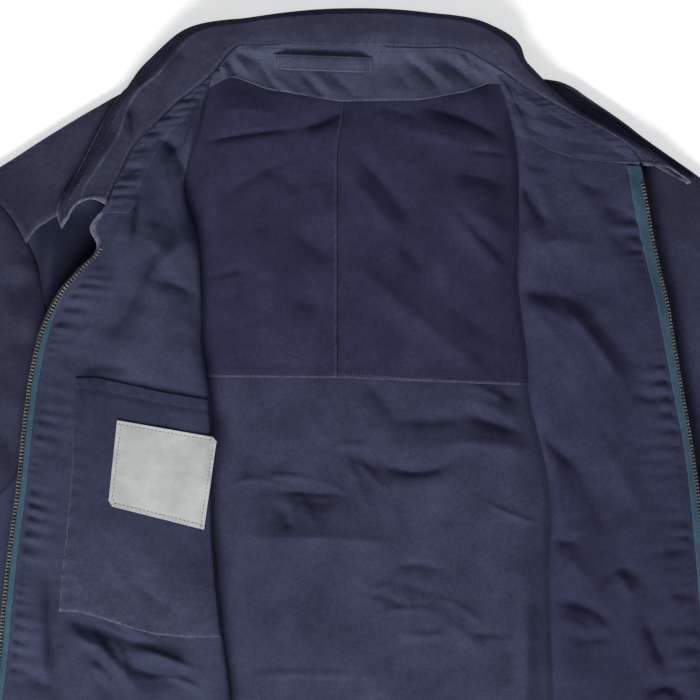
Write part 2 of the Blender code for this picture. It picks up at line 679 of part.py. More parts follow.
def build_pull(centre_x, pin_z):
    """The pull: a flat tab whose window goes round the slider's bow, on a bar that turns inside it."""
    pivot = np.array([centre_x, SLIDER_Y, pin_z])
    tilt = np.radians(PULL_REST)

    def tipped(points):
        """Points of the level pull, tipped down to the surface."""
        x, y, z = np.asarray(points, float).T
        run = y * np.cos(tilt) - z * np.sin(tilt)
        drop = y * np.sin(tilt) + z * np.cos(tilt)
        return np.column_stack([x, run, drop]) + pivot

    outer = (
        (PULL_WIDTH / 2, 0.0),
        (-PULL_WIDTH / 2, 0.0),
        (-PULL_TIP_WIDTH / 2, -PULL_LENGTH),
        (PULL_TIP_WIDTH / 2, -PULL_LENGTH),
    )
    inner = (
        (PULL_WINDOW_WIDTH / 2, -PULL_WINDOW_START),
        (-PULL_WINDOW_WIDTH / 2, -PULL_WINDOW_START),
        (-PULL_WINDOW_WIDTH / 2, -PULL_WINDOW_END),
        (PULL_WINDOW_WIDTH / 2, -PULL_WINDOW_END),
    )
    half = PULL_THICKNESS / 2
    points = [(*place, height) for height in (half, -half) for place in outer + inner]
    faces = []
    for corner in range(4):
        following = (corner + 1) % 4
        faces.append((corner, following, following + 4, corner + 4))
        faces.append((corner + 8, corner + 12, following + 12, following + 8))
        faces.append((corner, corner + 8, following + 8, following))
        faces.append((corner + 4, following + 4, following + 12, corner + 12))
    tab = solid("zip_pull", tipped(points), faces, BRASS, pivot)

    sides = PULL_PIN_SIDES
    turns = np.linspace(0, 2 * np.pi, sides, endpoint=False)
    ends = -(PULL_WIDTH + GAP) / 2, (PULL_WIDTH + GAP) / 2
    radius = PULL_PIN / 2
    points = [(x, radius * np.cos(turn), radius * np.sin(turn)) for x in ends for turn in turns]
    faces = [tuple(range(sides - 1, -1, -1)), tuple(range(sides, 2 * sides))]
    for corner in range(sides):
        following = (corner + 1) % sides
        faces.append((corner, following, following + sides, corner + sides))
    joined(tab, [solid("pull_bar", tipped(points), faces, BRASS, pivot)])


def build_zip_ends():
    """Slider, pull and box at the end of the right chain; the pin at the end of the left one."""
    end = FRONT_RIGHT[-1]
    centre_x, pin_z = build_slider(end.edge_x, end.edge_z)
    build_pull(centre_x, pin_z)
    foot = end.edge_z + CLOTH / 2
    low_y = HEM_Y + 0.5
    x0 = end.edge_x - BOX_WIDTH + CHAIN_WIDTH
    x1 = end.edge_x + CHAIN_WIDTH - GAP
    block("zip_box", (x0, low_y, foot), (x1, low_y + BOX_LENGTH, foot + BOX_HEIGHT), BRASS)
    end = FRONT_LEFT[-1]
    foot = end.edge_z + CLOTH / 2 + GAP
    x0, x1 = end.edge_x - CHAIN_WIDTH + GAP, end.edge_x - CHAIN_WIDTH + GAP + PIN_WIDTH
    block("zip_pin", (x0, low_y, foot), (x1, low_y + PIN_LENGTH, foot + PIN_WIDTH), BRASS)


def build_inside_pocket(grid, away):
    """The patch pocket on the wearer's right front, and the label sewn to it."""
    rows = (POCKET_TOP_ROW, POCKET_BOTTOM_ROW)
    columns = (FOLD_TOP - 1, POCKET_SIDE)
    points, outer = piece(grid, rows, columns), piece(away, rows, columns)
    wall("inside_pocket", points - outer * LAYER, CLOTH_NAVY, away=outer)
    rows = (LABEL_TOP_ROW, LABEL_BOTTOM_ROW)
    columns = (FOLD_TOP - 1, LABEL_SIDE)
    lift = LAYER + CLOTH / 2 + GAP + LABEL / 2
    points, outer = piece(grid, rows, columns), piece(away, rows, columns)
    wall("label", points - outer * lift, LABEL_WHITE, LABEL, away=outer)


def clear_scene():
    """Removes what the startup scene holds."""
    for old in list(bpy.data.objects):
        bpy.data.objects.remove(old)


def main():
    clear_scene()
    build_back()
    box_top = HEM_Y + 0.5 + BOX_LENGTH
    pin_top = HEM_Y + 0.5 + PIN_LENGTH
    right, away = build_front(
        "right",
        FRONT_RIGHT,
        LAPEL_RIDGES_RIGHT,
        -1,
        ZIP_TOP_RIGHT,
        box_top + GAP,
        FACING_END_RIGHT,
        (BAND_SIDE, EDGE_SIDE),
    )
    left, _ = build_front(
        "left",
        FRONT_LEFT,
        LAPEL_RIDGES_LEFT,
        1,
        ZIP_TOP_LEFT,
        pin_top + GAP,
        FACING_END_LEFT,
        (FOLD_TOP - 1, EDGE_SIDE),
    )
    build_zip_ends()
    build_collar(right, left)
    build_inside_pocket(right, away)
    build_sleeve("right", FRONT_RIGHT, SLEEVE_RIGHT, -1)
    build_sleeve("left", FRONT_LEFT, SLEEVE_LEFT, 1)


main()
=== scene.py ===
"""Looks for a windbreaker that lies flat on its back, unzipped, with both fronts folded outward.

Sizes are in millimetres in the garment's own layout, where X runs across it, Y from hem to collar and
Z off the surface. Left and right are the wearer's, so the wearer's right lies at -X.
"""

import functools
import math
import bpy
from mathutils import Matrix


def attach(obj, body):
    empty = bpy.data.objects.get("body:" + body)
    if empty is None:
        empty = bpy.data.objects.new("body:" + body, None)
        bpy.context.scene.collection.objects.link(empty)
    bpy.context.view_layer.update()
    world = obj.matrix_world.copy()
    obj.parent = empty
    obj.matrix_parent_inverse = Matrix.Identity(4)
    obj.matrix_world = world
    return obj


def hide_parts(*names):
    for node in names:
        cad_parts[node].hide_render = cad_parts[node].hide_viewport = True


bl_info = {
    "name": "Laid-out windbreaker",
    "version": (1, 0, 0),
    "blender": (4, 5, 0),
    "location": "View3D > Sidebar > Garment",
    "description": "Dresses a laid-out windbreaker's solids in creased poplin, stitches and brass",
    "category": "Add Mesh",
}

from collections import namedtuple

import bmesh
import bpy
import numpy as np
from bpy.props import FloatProperty, FloatVectorProperty, PointerProperty
from mathutils import Matrix, Vector
from mathutils.bvhtree import BVHTree

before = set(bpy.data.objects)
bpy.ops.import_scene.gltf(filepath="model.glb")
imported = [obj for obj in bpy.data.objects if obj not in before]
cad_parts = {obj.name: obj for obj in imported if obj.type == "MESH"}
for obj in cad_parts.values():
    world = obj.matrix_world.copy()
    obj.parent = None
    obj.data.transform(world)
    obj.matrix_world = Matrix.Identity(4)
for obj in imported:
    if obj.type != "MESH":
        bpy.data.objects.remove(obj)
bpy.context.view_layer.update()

MM = 0.001
BODY = "jacket"

# Where the middle of the layout lies in the part's frame
CENTRE = np.array([-0.73, 105.24, 0.0])

# The solids' layers: wall, gap, and the levels that they lie at
CLOTH = 1.5
GAP = 0.3
LAYER = CLOTH + GAP
BACK_LEVEL = CLOTH / 2
YOKE_LEVEL = BACK_LEVEL + LAYER
FACING_LEVEL = YOKE_LEVEL + LAYER
FRONT_LEVEL = FACING_LEVEL + 0.2

# How far a layer sewn to a panel stands off it, middle to middle
SEWN = 1.25

# The bands beside the zip, the tape's thickness and lift, its thick edge's radius, and how far the
# row of stitches beside it stands from the edge
TAPE_WIDTH = 11.0
CHAIN_WIDTH = 4.5
EDGE_BAND = 20.0
TAPE = 0.7
TAPE_LIFT = CLOTH / 2 + GAP + 0.1
BEAD = 0.75
ZIP_STITCHES = 13.0

# A front, line by line from the shoulder down: side seam, fold, edge, the fold's radius, and the
# edge's height
SIDE, FOLD, EDGE = slice(0, 2), slice(2, 4), slice(4, 6)
FRONTS = {
    "right": np.array((
        (-108, 207, -93, 203, -101, 198, 2.2, 11), (-134, 196, -101, 191, -113, 188, 2.6, 11.5),
        (-161, 186.5, -105, 180, -126, 178, 3, 12.5), (-182, 175.3, -107, 168, -140, 164, 3.5, 14),
        (-203, 163, -111, 152, -155, 149, 4, 15.5), (-224, 150, -117, 134, -164, 131, 4.2, 17),
        (-244, 137, -120, 119, -171, 117, 4.5, 18.5), (-262, 126, -118, 104, -176, 104, 4.8, 20),
        (-269, 119, -112, 86, -187, 88, 5, 22), (-250, 103, -109, 70, -182, 74, 5.2, 23),
        (-236, 82, -108, 52, -196, 58, 5.5, 23), (-224, 52, -107, 32, -209, 43, 5.8, 21),
        (-219, 18, -107, 6, -221, 20, 6, 18), (-219, -12, -101, -36, -230, -14, 6, 16.5),
        (-223, -46, -99, -63, -234, -39, 6, 15.5), (-240, -88, -99, -96, -237, -66, 6, 15),
        (-291, -140, -99, -130, -240, -96, 6, 14.5), (-294, -180, -96, -168, -246, -140, 6, 14),
        (-293, -225, -92, -207, -250, -178, 6, 13.5), (-291, -275, -86, -258, -256, -238, 6, 13),
        (-287, -325, -92, -312, -266, -300, 6, 12), (-281, -365, -106, -358, -281, -352, 5.5, 10.5),
        (-274, -398, -117, -398, -296, -398, 5, 9), (-268, -447, -124, -447, -296, -447, 5, 9),
    )),
    "left": np.array((
        (117, 198, 104, 199, 112, 197, 2.2, 12), (138, 195.5, 108, 191, 122, 190, 2.8, 12.8),
        (155, 192, 112, 181, 140, 179, 3.4, 13.4), (174, 180, 115, 171, 158, 169, 3.8, 13.6),
        (196, 165, 117, 162, 178, 160, 4, 13.8), (213, 152, 119, 155, 196, 149, 4.2, 14),
        (230, 140, 120, 148, 204, 141, 4.4, 14), (250, 126, 121, 140, 209, 133, 4.6, 14),
        (276, 106, 122, 124, 212, 118, 5, 14), (272, 84, 122, 106, 215, 102, 5.2, 14),
        (267, 56, 122, 84, 218, 86, 5.5, 13.5), (262, 26, 121, 56, 223, 62, 5.8, 13),
        (258, -6, 124, 26, 229, 36, 6, 12.5), (257, -36, 128, -4, 235, 2, 6, 12.5),
        (263, -70, 130, -36, 241, -34, 6, 12.5), (283, -112, 139, -72, 247, -68, 6, 13),
        (312, -145, 145, -108, 252, -104, 6, 13), (315, -185, 144, -152, 256, -146, 6, 13),
        (316, -230, 145, -202, 260, -194, 6, 13), (315, -278, 147, -256, 264, -248, 6, 12.5),
        (311, -325, 148, -310, 267, -304, 6, 12), (305, -365, 148, -358, 269, -354, 5.5, 11),
        (297, -398, 146, -398, 268, -398, 5, 10), (290, -447, 142, -447, 262, -447, 5, 10),
    )),
}

# Lines of a front: where its waistband starts, the ends of its armhole, how many lines its yoke and its
# neck reach down, and where its zip starts and ends
WAIST_ROW = 22
TIP_ROW = 8
ARMPIT_ROW = 16
YOKE_ROWS = 13
NECK_ROWS = 8
ZIP_TOP = {"right": 9.0, "left": 7.9}
ZIP_END = {"right": 22.88, "left": 22.78}

# A front's columns: the shares of its lower and upper layer that they stand at, the turns round its
# fold, and the numbers of some of them
LOWER_SHARES = (0.0, 0.14, 0.34, 0.56, 0.78, 1.0)
FOLD_TURNS = (-45.0, 0.0, 45.0, 90.0)
UPPER_SHARES = (0.22, 0.42, 0.58, 0.74, 0.885)
LOWER_END = 5
FOLD_SIDE = 7
FOLD_TOP = 9
CHAIN_SIDE = 17
BEAD_SIDE = 17.45
TEETH_SIDE = 17.5
EDGE_SIDE = 18

# The outer yokes: how many rows they reach down each column of the front's lower layer
YOKE_PLACES = (0, 1, 2, 2.2, 2.5, 3, 4, 5)
YOKE_REACH = {
    "right": (1.2, 0.5, -0.35, -0.6, -2.2, -3.5, -5.0, -6.0),
    "left": (0.95, 0.45, 0.1, 0.09, 0.07, 0.05, 0.05, 0.05),
}

# Largest folds of the two turned-back fronts, as on the solids: a line, its width and its height
RIDGES = {
    "right": (
        (-158, 120, -140, 40, 16, 5), (-125, 60, -118, -20, 14, 3), (-150, -230, -170, -300, 22, 4),
    ),
    "left": (
        (140, 30, 180, -30, 16, 4), (175, 100, 215, 40, 16, 3), (150, -150, 185, -190, 18, 4),
        (170, -250, 200, -330, 22, 4),
    ),
}

# The back's neckline, the collar's height along it, and the upper and lower edge of the facing under it
BACK_NECK = (
    (-86, 216), (-63, 221), (-7, 220), (50, 219), (83, 217), (101, 207),
)
NECK_HEIGHTS = (9.8, 7.5, 6.6, 6.6, 8.0, 10.2)
NECK_SEAM = 0.6
FACING_DEPTH = 38
FACING_NECK = (
    (-99, 202.5), (-91, 211.5), (-84, 217.5), (-63, 221), (-7, 220), (50, 219), (83, 217), (97, 210),
    (107, 203), (113, 198),
)
FACING_EDGE = (
    (-101, 189.5), (-92, 194.5), (-84, 197), (-60, 188), (-7, 179), (50, 180), (83, 186), (99, 192),
    (108, 192), (113, 189),
)

# The back yoke: where its halves meet, the height of its lower edge, the row of stitches above that,
# and its inner edges' laps
YOKE_CENTRE_X = -9.5
YOKE_CENTRE_SHIFT = 5.0
YOKE_BOTTOM = {"right": -19.0, "middle": -20.0, "left": -31.0}
YOKE_HEM = 8.4
YOKE_INNER = {
    "right": ((-21.0, 0.0), (-9.0, LAYER), (0.0, LAYER)),
    "left": ((40.0, 0.0), (15.0, 0.0), (-7.0, 0.0)),
}

# How far the collar's row of stitches stands from its edge, and the last line of its right end
COLLAR_ROW = 5.6
COLLAR_END = 4

# The collar, line by line from the wearer's right front round the neck to the left: its roll, the
# bulge outside it, and its tip
COLLAR = np.array((
    (-195, 105.5, 20, -200.5, 102, 17, -207.5, 87.5, 13), (-193, 115, 21, -201, 110, 18, -211, 98.5, 13),
    (-181, 134, 23, -191, 130, 19, -197.5, 125, 13), (-166, 158, 25, -178, 157, 19, -183.5, 153, 12.5),
    (-160.5, 177, 27.5, -168, 178, 20, -172, 174, 12), (-153, 188, 29, -159, 189, 19, -163.5, 186, 10.8),
    (-141, 198, 28, -152, 201, 15, -155, 190, 0.75), (-131, 210, 28, -142, 212, 14, -144, 180, 0.75),
    (-115, 226, 27, -122, 230, 13, -108, 176, 0.75), (-71, 236, 26, -71, 240, 13, -71, 173, 0.75),
    (-7, 242, 26, -7, 246.5, 13, -7, 171, 0.75), (53, 240, 26, 55, 243.5, 13, 50, 173, 0.75),
    (96, 232, 25, 101, 235, 12, 86, 176, 0.75), (118, 216, 23, 123, 219.5, 11, 112, 180, 0.75),
    (122.5, 208, 20, 126, 209.5, 10, 126, 199, 0.75), (133, 196, 18, 136.5, 196.5, 14, 136, 191, 10.8),
    (148, 184, 16, 151, 182.5, 12, 146, 172, 10.5), (164, 172, 15.5, 167, 170.5, 11.5, 162, 157, 10.3),
    (185, 159.5, 15.5, 188.5, 158, 11.5, 183, 147, 10.3),
    (207, 147.5, 15.5, 210.5, 145.5, 11.5, 206, 138, 10.3), (224, 137.5, 15, 228.5, 134, 11, 224, 130, 9.8),
    (230, 131.5, 14.5, 246, 120.5, 12, 243, 119.5, 11),
))

# A sleeve, ring by ring from armhole to wrist: its share of the armhole's bow, upper and lower edge,
# and its height
SLEEVES = {
    "right": (
        (1, -269, 119, -291, -140, 4.2), (0.65, -304, 100, -305, -152, 5), (0.3, -356, 68, -325, -190, 5.6),
        (0.1, -420, 18, -352, -232, 5.8), (0, -474, -46, -382, -272, 5.8), (0, -524, -130, -416, -312, 5.8),
        (0, -564, -222, -452, -354, 5.6), (0, -596, -322, -488, -398, 5.4),
    ),
    "left": (
        (1, 276, 106, 312, -145, 4.2), (0.65, 311, 88, 326, -157, 5), (0.3, 362, 56, 344, -197, 5.6),
        (0.1, 426, 6, 368, -240, 5.8), (0, 479, -58, 396, -280, 5.8), (0, 528, -142, 428, -320, 5.8),
        (0, 567, -234, 463, -362, 5.6), (0, 598, -334, 498, -406, 5.4),
    ),
}
CUFF_DEPTH = 52.0
CUFF_TOP = 5.2
SEAM_SHIFT = {"right": 1.4, "left": -1.4}
SLEEVE_EDGE = 0.55
SLEEVE_DIP = 0.35

# Creases: three points of a bent line, its width, and its height above the cloth or depth below it
LAPEL_CREASES = {
    "right": (
        (-136.8, 77, -155.5, 43.2, -177.1, 3.6, 8, -1.6), (-113.8, 99.4, -122.4, 72, -142.6, 56.2, 8, 1.2),
        (-144, 51.1, -126.7, 47.5, -110.2, 42.5, 3.2, -0.6), (-123.8, 20.2, -144, 2.9, -167, -8.6, 11, 1.1),
        (-135.4, 151.9, -129.6, 149.8, -122.4, 142.6, 3.6, -2.6),
        (-121, 144, -122.4, 131, -115.2, 121, 3, -1), (-132.5, 142.6, -135.4, 125.3, -128.2, 108, 5, 1.2),
        (-152.6, 110.9, -154.1, 96.5, -155.5, 80.6, 2.4, -1.2),
        (-161.3, 97.9, -164.2, 85, -171.4, 70.6, 5, 1),
        (-207.4, -184.3, -204.5, -216, -208.8, -250.6, 4, -1.6),
        (-191.5, -191.5, -181.4, -203, -171.4, -208.8, 3, -1.5),
        (-165.6, -195.8, -155.5, -204.5, -139.7, -208.8, 3, 1.2),
        (-135, 150, -122, 144, -118, 120, 5, -2.4), (-111, 174, -118, 144, -114, 121, 6, 2.2),
        (-153, 121, -153, 101, -157, 79, 2.2, -2), (-160, 108, -163, 92, -168, 75, 6, 1.8),
        (-131, 108, -137, 97, -141, 85, 6, -1.4), (-137, 76, -144, 63, -151, 47, 7, -2.2),
        (-151, 47, -160, 27, -176, 6, 8, -1.8), (-108, 82, -125, 75, -140, 59, 11, 3),
        (-140, 53, -125, 48, -108, 36, 7, -1.5), (-177, 63, -183, 43, -187, 14, 9, 1.8),
        (-144, 36, -151, 14, -160, -9, 10, 2.2), (-115, 29, -118, 7, -111, -14, 9, 1.5),
        (-194, -16, -177, -7, -156, -16, 6, -2.2), (-173, -20, -144, -24, -105, -33, 4, -0.8),
        (-215, -156, -218, -187, -210, -248, 4, -4), (-223, -173, -226, -209, -220, -245, 5, 1.8),
        (-204, -190, -192, -200, -177, -212, 5, -3), (-180, -197, -161, -209, -140, -213, 4, -2.2),
        (-200, -204, -174, -215, -151, -248, 4.5, 3), (-189, -213, -184, -220, -180, -229, 4, -2),
        (-160, -226, -144, -235, -121, -238, 4, -2.2), (-161, -217, -137, -220, -115, -229, 5, 1.6),
        (-180, -235, -177, -245, -174, -253, 4, -1.5), (-232, -233, -223, -239, -212, -245, 5, -2.4),
        (-153, -170, -140, -176, -128, -189, 6, -1.5), (-167, -65, -166, -108, -171, -151, 10, 0.8),
        (-122, -151, -115, -166, -108, -180, 9, 0.9), (-209, -58, -207, -72, -204, -86, 4, -1),
        (-189, 36, -202, 27, -210, 20, 4, -0.9), (-180, 22, -192, 12, -207, 1, 4, 0.9),
        (-191.5, -200, -180, -209, -167, -229, 1.7, 2.3), (-180, -196, -167, -204.5, -151, -209, 1.7, 2.2),
        (-171, -209, -162, -220, -160, -245, 1.7, 2.1), (-209, -209, -206, -227, -207, -252, 1.9, 2.2),
        (-151, -216, -133, -219.5, -115, -229, 1.7, 2), (-144, -237.5, -126, -232, -108, -245, 1.6, 1.8),
        (-186, -226, -176, -232, -168, -248, 1.6, 1.8),
    ),
    "left": (
        (123.8, 89.3, 133.9, 79.2, 145.4, 63.4, 9, 1.4), (122.4, 44.6, 135.4, 38.9, 151.2, 36, 5, -1.8),
        (133.9, 31.7, 148.3, 27.4, 165.6, 14.4, 6, 1.2), (119.5, 125.3, 128.2, 110.9, 136.8, 92.2, 3, -1.6),
        (132.5, 123.8, 141.1, 103.7, 145.4, 85, 6, 1.2), (122.4, 136.8, 132.5, 131, 148.3, 129.6, 3, -0.9),
        (151.2, 79.2, 168.5, 63.4, 194.4, 57.6, 10, 0.9), (155.5, 46.1, 172.8, 36, 201.6, 38.9, 8, -1),
        (123, 122, 132, 108, 141, 96, 3.5, -1.6), (134, 99, 138, 96, 144, 94, 3, -1.6),
        (130, 72, 151, 85, 180, 72, 14, 2.6), (125, 48, 151, 42, 174, 27, 6, -1.5),
        (174, 27, 184, 7, 210, -16, 8, -1.3), (132, 27, 148, 14, 173, -13, 6, 2.2),
        (153, 32, 173, 14, 197, -26, 6, 2.4), (140, 22, 156, 7, 170, -12, 3, -1.2),
        (202, 125, 209, 108, 216, 85, 7, 1.2), (163, 122, 173, 117, 184, 114, 5, -1.2),
        (180, 104, 196, 99, 204, 99, 4, -1), (132, -53, 148, -71, 164, -86, 6, -2.8),
        (164, -86, 177, -108, 184, -137, 9, -1.6), (145, -86, 148, -108, 151, -128, 8, 2),
        (180, -65, 196, -86, 206, -115, 9, 1.8), (145, -132, 156, -143, 166, -134, 4.5, -2.2),
        (153, -148, 166, -156, 173, -173, 10, 2.6), (148, -181, 174, -181, 190, -200, 4, -2.4),
        (180, -177, 190, -143, 213, -171, 5, -2), (189, -156, 197, -166, 204, -180, 6, 1.8),
        (212, -192, 220, -209, 228, -232, 5, -3), (212, -255, 223, -229, 248, -256, 5, -3.4),
        (156, -206, 173, -210, 192, -206, 4, -1.4), (151, -193, 166, -197, 177, -209, 6, 1.6),
        (245, -137, 235, -144, 223, -145, 4, -1), (232, -179, 238, -171, 248, -180, 5, -1.8),
        (202, -30, 215, -35, 226, -39, 4, -1.2), (184, 86, 194, 76, 209, 71, 4, -0.9),
    ),
}
BACK_CREASES = (
    (-33, 160, -20, 163, -3, 174, 4, -3.2), (-111, 149, -79, 156, -36, 160, 2.4, -1.6),
    (-101, 171, -72, 177, -43, 167, 9, 1.6), (-92, 107, -71, 128, -39, 138, 2.2, -1),
    (-63, 131, -43, 125, -36, 111, 6, -1.3), (-105, 50, -91, 56, -73, 59, 2.2, -1.2),
    (-73, 87, -66, 86, -59, 88, 1.6, -0.6), (-39, 85, -26, 75, -14, 63, 7, -1.4),
    (-42, 39, -30, 30, -20, 32, 8, -1.4), (-32, 125, -17, 111, -14, 86, 9, 1.4),
    (-63, 23, -58, 14, -49, 7, 10, 1), (1, 144, 26, 121, 45, 89, 6, -1.9),
    (-3, 128, 16, 108, 37, 79, 8, 1.8), (35, 79, 43, 69, 56, 56, 6, -2),
    (19, 174, 36, 173, 50, 167, 6, -1.2), (50, 174, 85, 171, 117, 147, 6, -2.8),
    (36, 160, 65, 156, 94, 144, 10, 1.8), (84, 144, 101, 143, 118, 140, 2.4, -1.2),
    (73, 125, 98, 130, 122, 111, 10, -3), (65, 104, 92, 82, 124, 42, 5, 1.8),
    (79, 102, 102, 98, 120, 72, 9, 1.8), (79, 99, 98, 79, 122, 50, 4, -1.2),
    (6, 59, 50, 22, 104, -23, 9, 1.7), (65, 36, 86, 22, 115, -1, 9, -1.2),
    (84, -24, 98, -30, 117, -37, 4, 1.6), (107, -30, 115, -36, 125, -35, 4, -2.2),
    (12, -22, 19, -33, 33, -48, 6, -1.4), (30, -50, 59, -53, 84, -48, 6, -1.9),
    (84, -46, 101, -53, 125, -59, 5, -3.2), (86, -36, 101, -39, 114, -49, 5, 1.6),
    (58, -68, 94, -65, 131, -73, 9, 2.2), (23, -82, 50, -96, 76, -79, 4, -3),
    (-7, -72, 9, -81, 27, -89, 8, -1.8), (-12, -71, 0, -66, 20, -72, 2, 0.9),
    (-52, -101, -27, -104, -3, -104, 4, -2.4), (-46, -104, -27, -115, -7, -108, 8, -1.8),
    (-50, -111, -46, -121, -42, -132, 3, -1.6), (-73, -96, -62, -92, -50, -98, 2, 0.8),
    (-22, -94, -12, -99, -1, -105, 1.8, 0.8), (-7, -65, 3, -92, 17, -122, 1.8, 0.8),
    (-88, -137, -29, -132, 39, -140, 13, 2.6), (4, -172, 24, -176, 45, -188, 2, -1),
    (7, -174, 22, -174, 33, -167, 2, 0.8), (33, -167, 48, -173, 69, -177, 2, -0.9),
    (32, -156, 50, -153, 69, -160, 3, -1.1), (94, -108, 114, -120, 143, -127, 1.8, 0.9),
    (35, -204, 53, -209, 73, -204, 2, 0.8), (86, -204, 101, -206, 112, -204, 2, -0.9),
    (-81, -235, -36, -232, 13, -236, 1.8, 0.8), (120, -158, 117, -187, 122, -223, 6, -0.9),
    (131, -177, 125, -216, 128, -255, 7, 1.8), (68, -194, 82, -204, 98, -219, 5, 1.2),
    (114, -209, 118, -226, 114, -245, 7, -1.4), (-71, -68, -79, -82, -72, -92, 7, -1.2),
    (-33, -36, -23, -58, -17, -69, 5, 0.7), (86, -151, 72, -173, 65, -187, 8, 0.8),
    (-50, -180, -29, -209, -14, -238, 9, 0.8), (-92, -86, -85, -108, -89, -130, 7, -1),
    (-62, -92, -44, -88, -20, -97, 1.6, 1.1), (-84, -98, -76, -92, -64, -93, 1.5, 0.9),
    (-40, -100, -31, -112, -26, -128, 1.5, 0.9), (2, -76, 14, -92, 28, -101, 1.5, 1),
    (22, -190, 40, -184, 64, -190, 1.5, 0.9), (40, -176, 46, -190, 42, -206, 1.5, 0.9),
    (66, -180, 84, -186, 98, -200, 1.5, 0.9),
)
FACING_CREASES = (
    (-66.2, 207.4, -60.5, 197.3, -50.4, 185, 2.2, -1.1), (-59, 198.7, -50.4, 191.5, -38.9, 184.3, 2.6, 1),
    (-36, 200.2, -27.4, 191.5, -18.7, 181.4, 2.2, -1.2), (-27.4, 200.2, -18.7, 191.5, -10.1, 182.9, 2.8, 1),
    (-15.8, 200.2, -5.8, 191.5, 4.3, 181.4, 2.2, -1.1), (32.4, 201.6, 38.9, 194.4, 44.6, 184.3, 2.6, -0.8),
    (37.4, 211.7, 53.3, 201.6, 67.7, 182.9, 2.4, -1.4), (44.6, 213.1, 61.9, 203, 76.3, 187.2, 3, 1.2),
    (59, 213.1, 74.9, 205.9, 89.3, 190.1, 2.2, -1.3), (73.4, 214.6, 85, 207.4, 96.5, 195.8, 2.6, 1.2),
    (80.6, 216, 86.4, 210.2, 87.8, 200.2, 1.8, -1), (-82.1, 216, -73.4, 210.2, -63.4, 207.4, 2.2, -1.1),
    (-85, 213.1, -77.8, 205.9, -72, 197.3, 2.2, 1.2), (-89.3, 210.2, -85, 203, -82.1, 195.8, 2, -1.2),
    (-92.2, 207.4, -89.3, 200.2, -89.3, 193, 2.2, 1), (-76.3, 217.4, -67.7, 214.6, -57.6, 214.6, 2, 1),
)
POCKET_CREASES = (
    (-144, -172.8, -128.2, -182.9, -110.9, -180, 8, 1.3),
    (-172.8, -165.6, -162.7, -180, -144, -187.2, 7, -1),
    (-165.6, -140.4, -144, -151.2, -115.2, -148.3, 9, 0.9),
    (-197.3, -122.4, -193, -151.2, -194.4, -180, 5, 0.8),
    (-158.4, -24.5, -151.2, -30.2, -146.9, -38.9, 2.4, -0.9),
    (-187.2, -86.4, -182.9, -108, -185.8, -129.6, 8, -0.7),
    (-204.5, -151.2, -198.7, -165.6, -200.2, -184.3, 3, -0.8),
)
NECK_CREASES = {
    "right": (
        (-147, 154.5, -139, 158, -132, 160, 2.4, -1.3), (-155, 146, -147, 146.5, -140, 148.5, 2.2, -0.9),
        (-164, 128.5, -156, 128.5, -148, 131.5, 2.5, -1.7), (-134, 167, -128, 170, -123, 174.5, 2.2, -0.9),
        (-121, 177, -115, 181, -110, 186, 2, -1.2), (-165, 119, -158, 121.5, -151, 121, 3, 1),
        (-159, 137, -152, 137, -145, 138.5, 3.5, 1.1), (-149, 150.5, -143, 151, -136, 154, 2.4, 0.8),
        (-140, 162, -134, 163.5, -128, 167, 2.6, 1.5), (-128, 172, -122, 175, -117, 180, 2.4, 1.4),
        (-105, 188, -101, 193, -97, 198.5, 2.2, -1.8),
    ),
    "left": (
        (110, 196, 117, 188, 125, 181, 3.5, -1.3), (118, 186, 128, 178, 140, 172, 3, 1.1),
        (112, 183, 122, 174, 133, 166, 3.5, -1.2), (130, 168, 144, 160, 160, 158, 4, 1.2),
        (124, 163, 134, 156, 146, 153, 3, -1.1), (140, 172, 152, 164, 166, 158, 3, -1),
        (150, 152, 166, 147, 180, 149, 4, -1.1), (160, 142, 176, 141, 190, 138, 3, 1),
        (172, 158, 184, 151, 196, 143, 3.5, 1.1), (184, 146, 194, 140, 204, 136, 2.6, -1),
        (117, 174, 120, 163, 126, 155, 3, 1.1),
    ),
}
COLLAR_CREASES = (
    (-159.5, 172, -160.5, 164, -159.5, 152, 1.7, -4.5), (-152, 178, -151, 170, -152, 160, 3, 2),
    (-135, 200, -128, 206, -120, 214, 5, -1.5), (-118, 205, -112, 214, -104, 222, 5, 1.5),
    (-100, 222, -90, 228, -78, 231, 5, -1.4), (-150, 186, -143, 190, -138, 196, 4, 1.5),
    (-178, 135, -174, 145, -167, 155, 3.5, -1.2), (60, 232, 76, 228, 92, 221, 5, -1.6),
    (100, 222, 112, 214, 122, 203, 4, 1.6),
)
HOLLOW_CREASES = (
    (-213, 85, -218, 63, -219, 39, 3.2, 3), (-205, 80, -209, 58, -210, 40, 4, -1.5),
    (-226, 78, -226, 60, -224, 40, 4, -1.5),
)
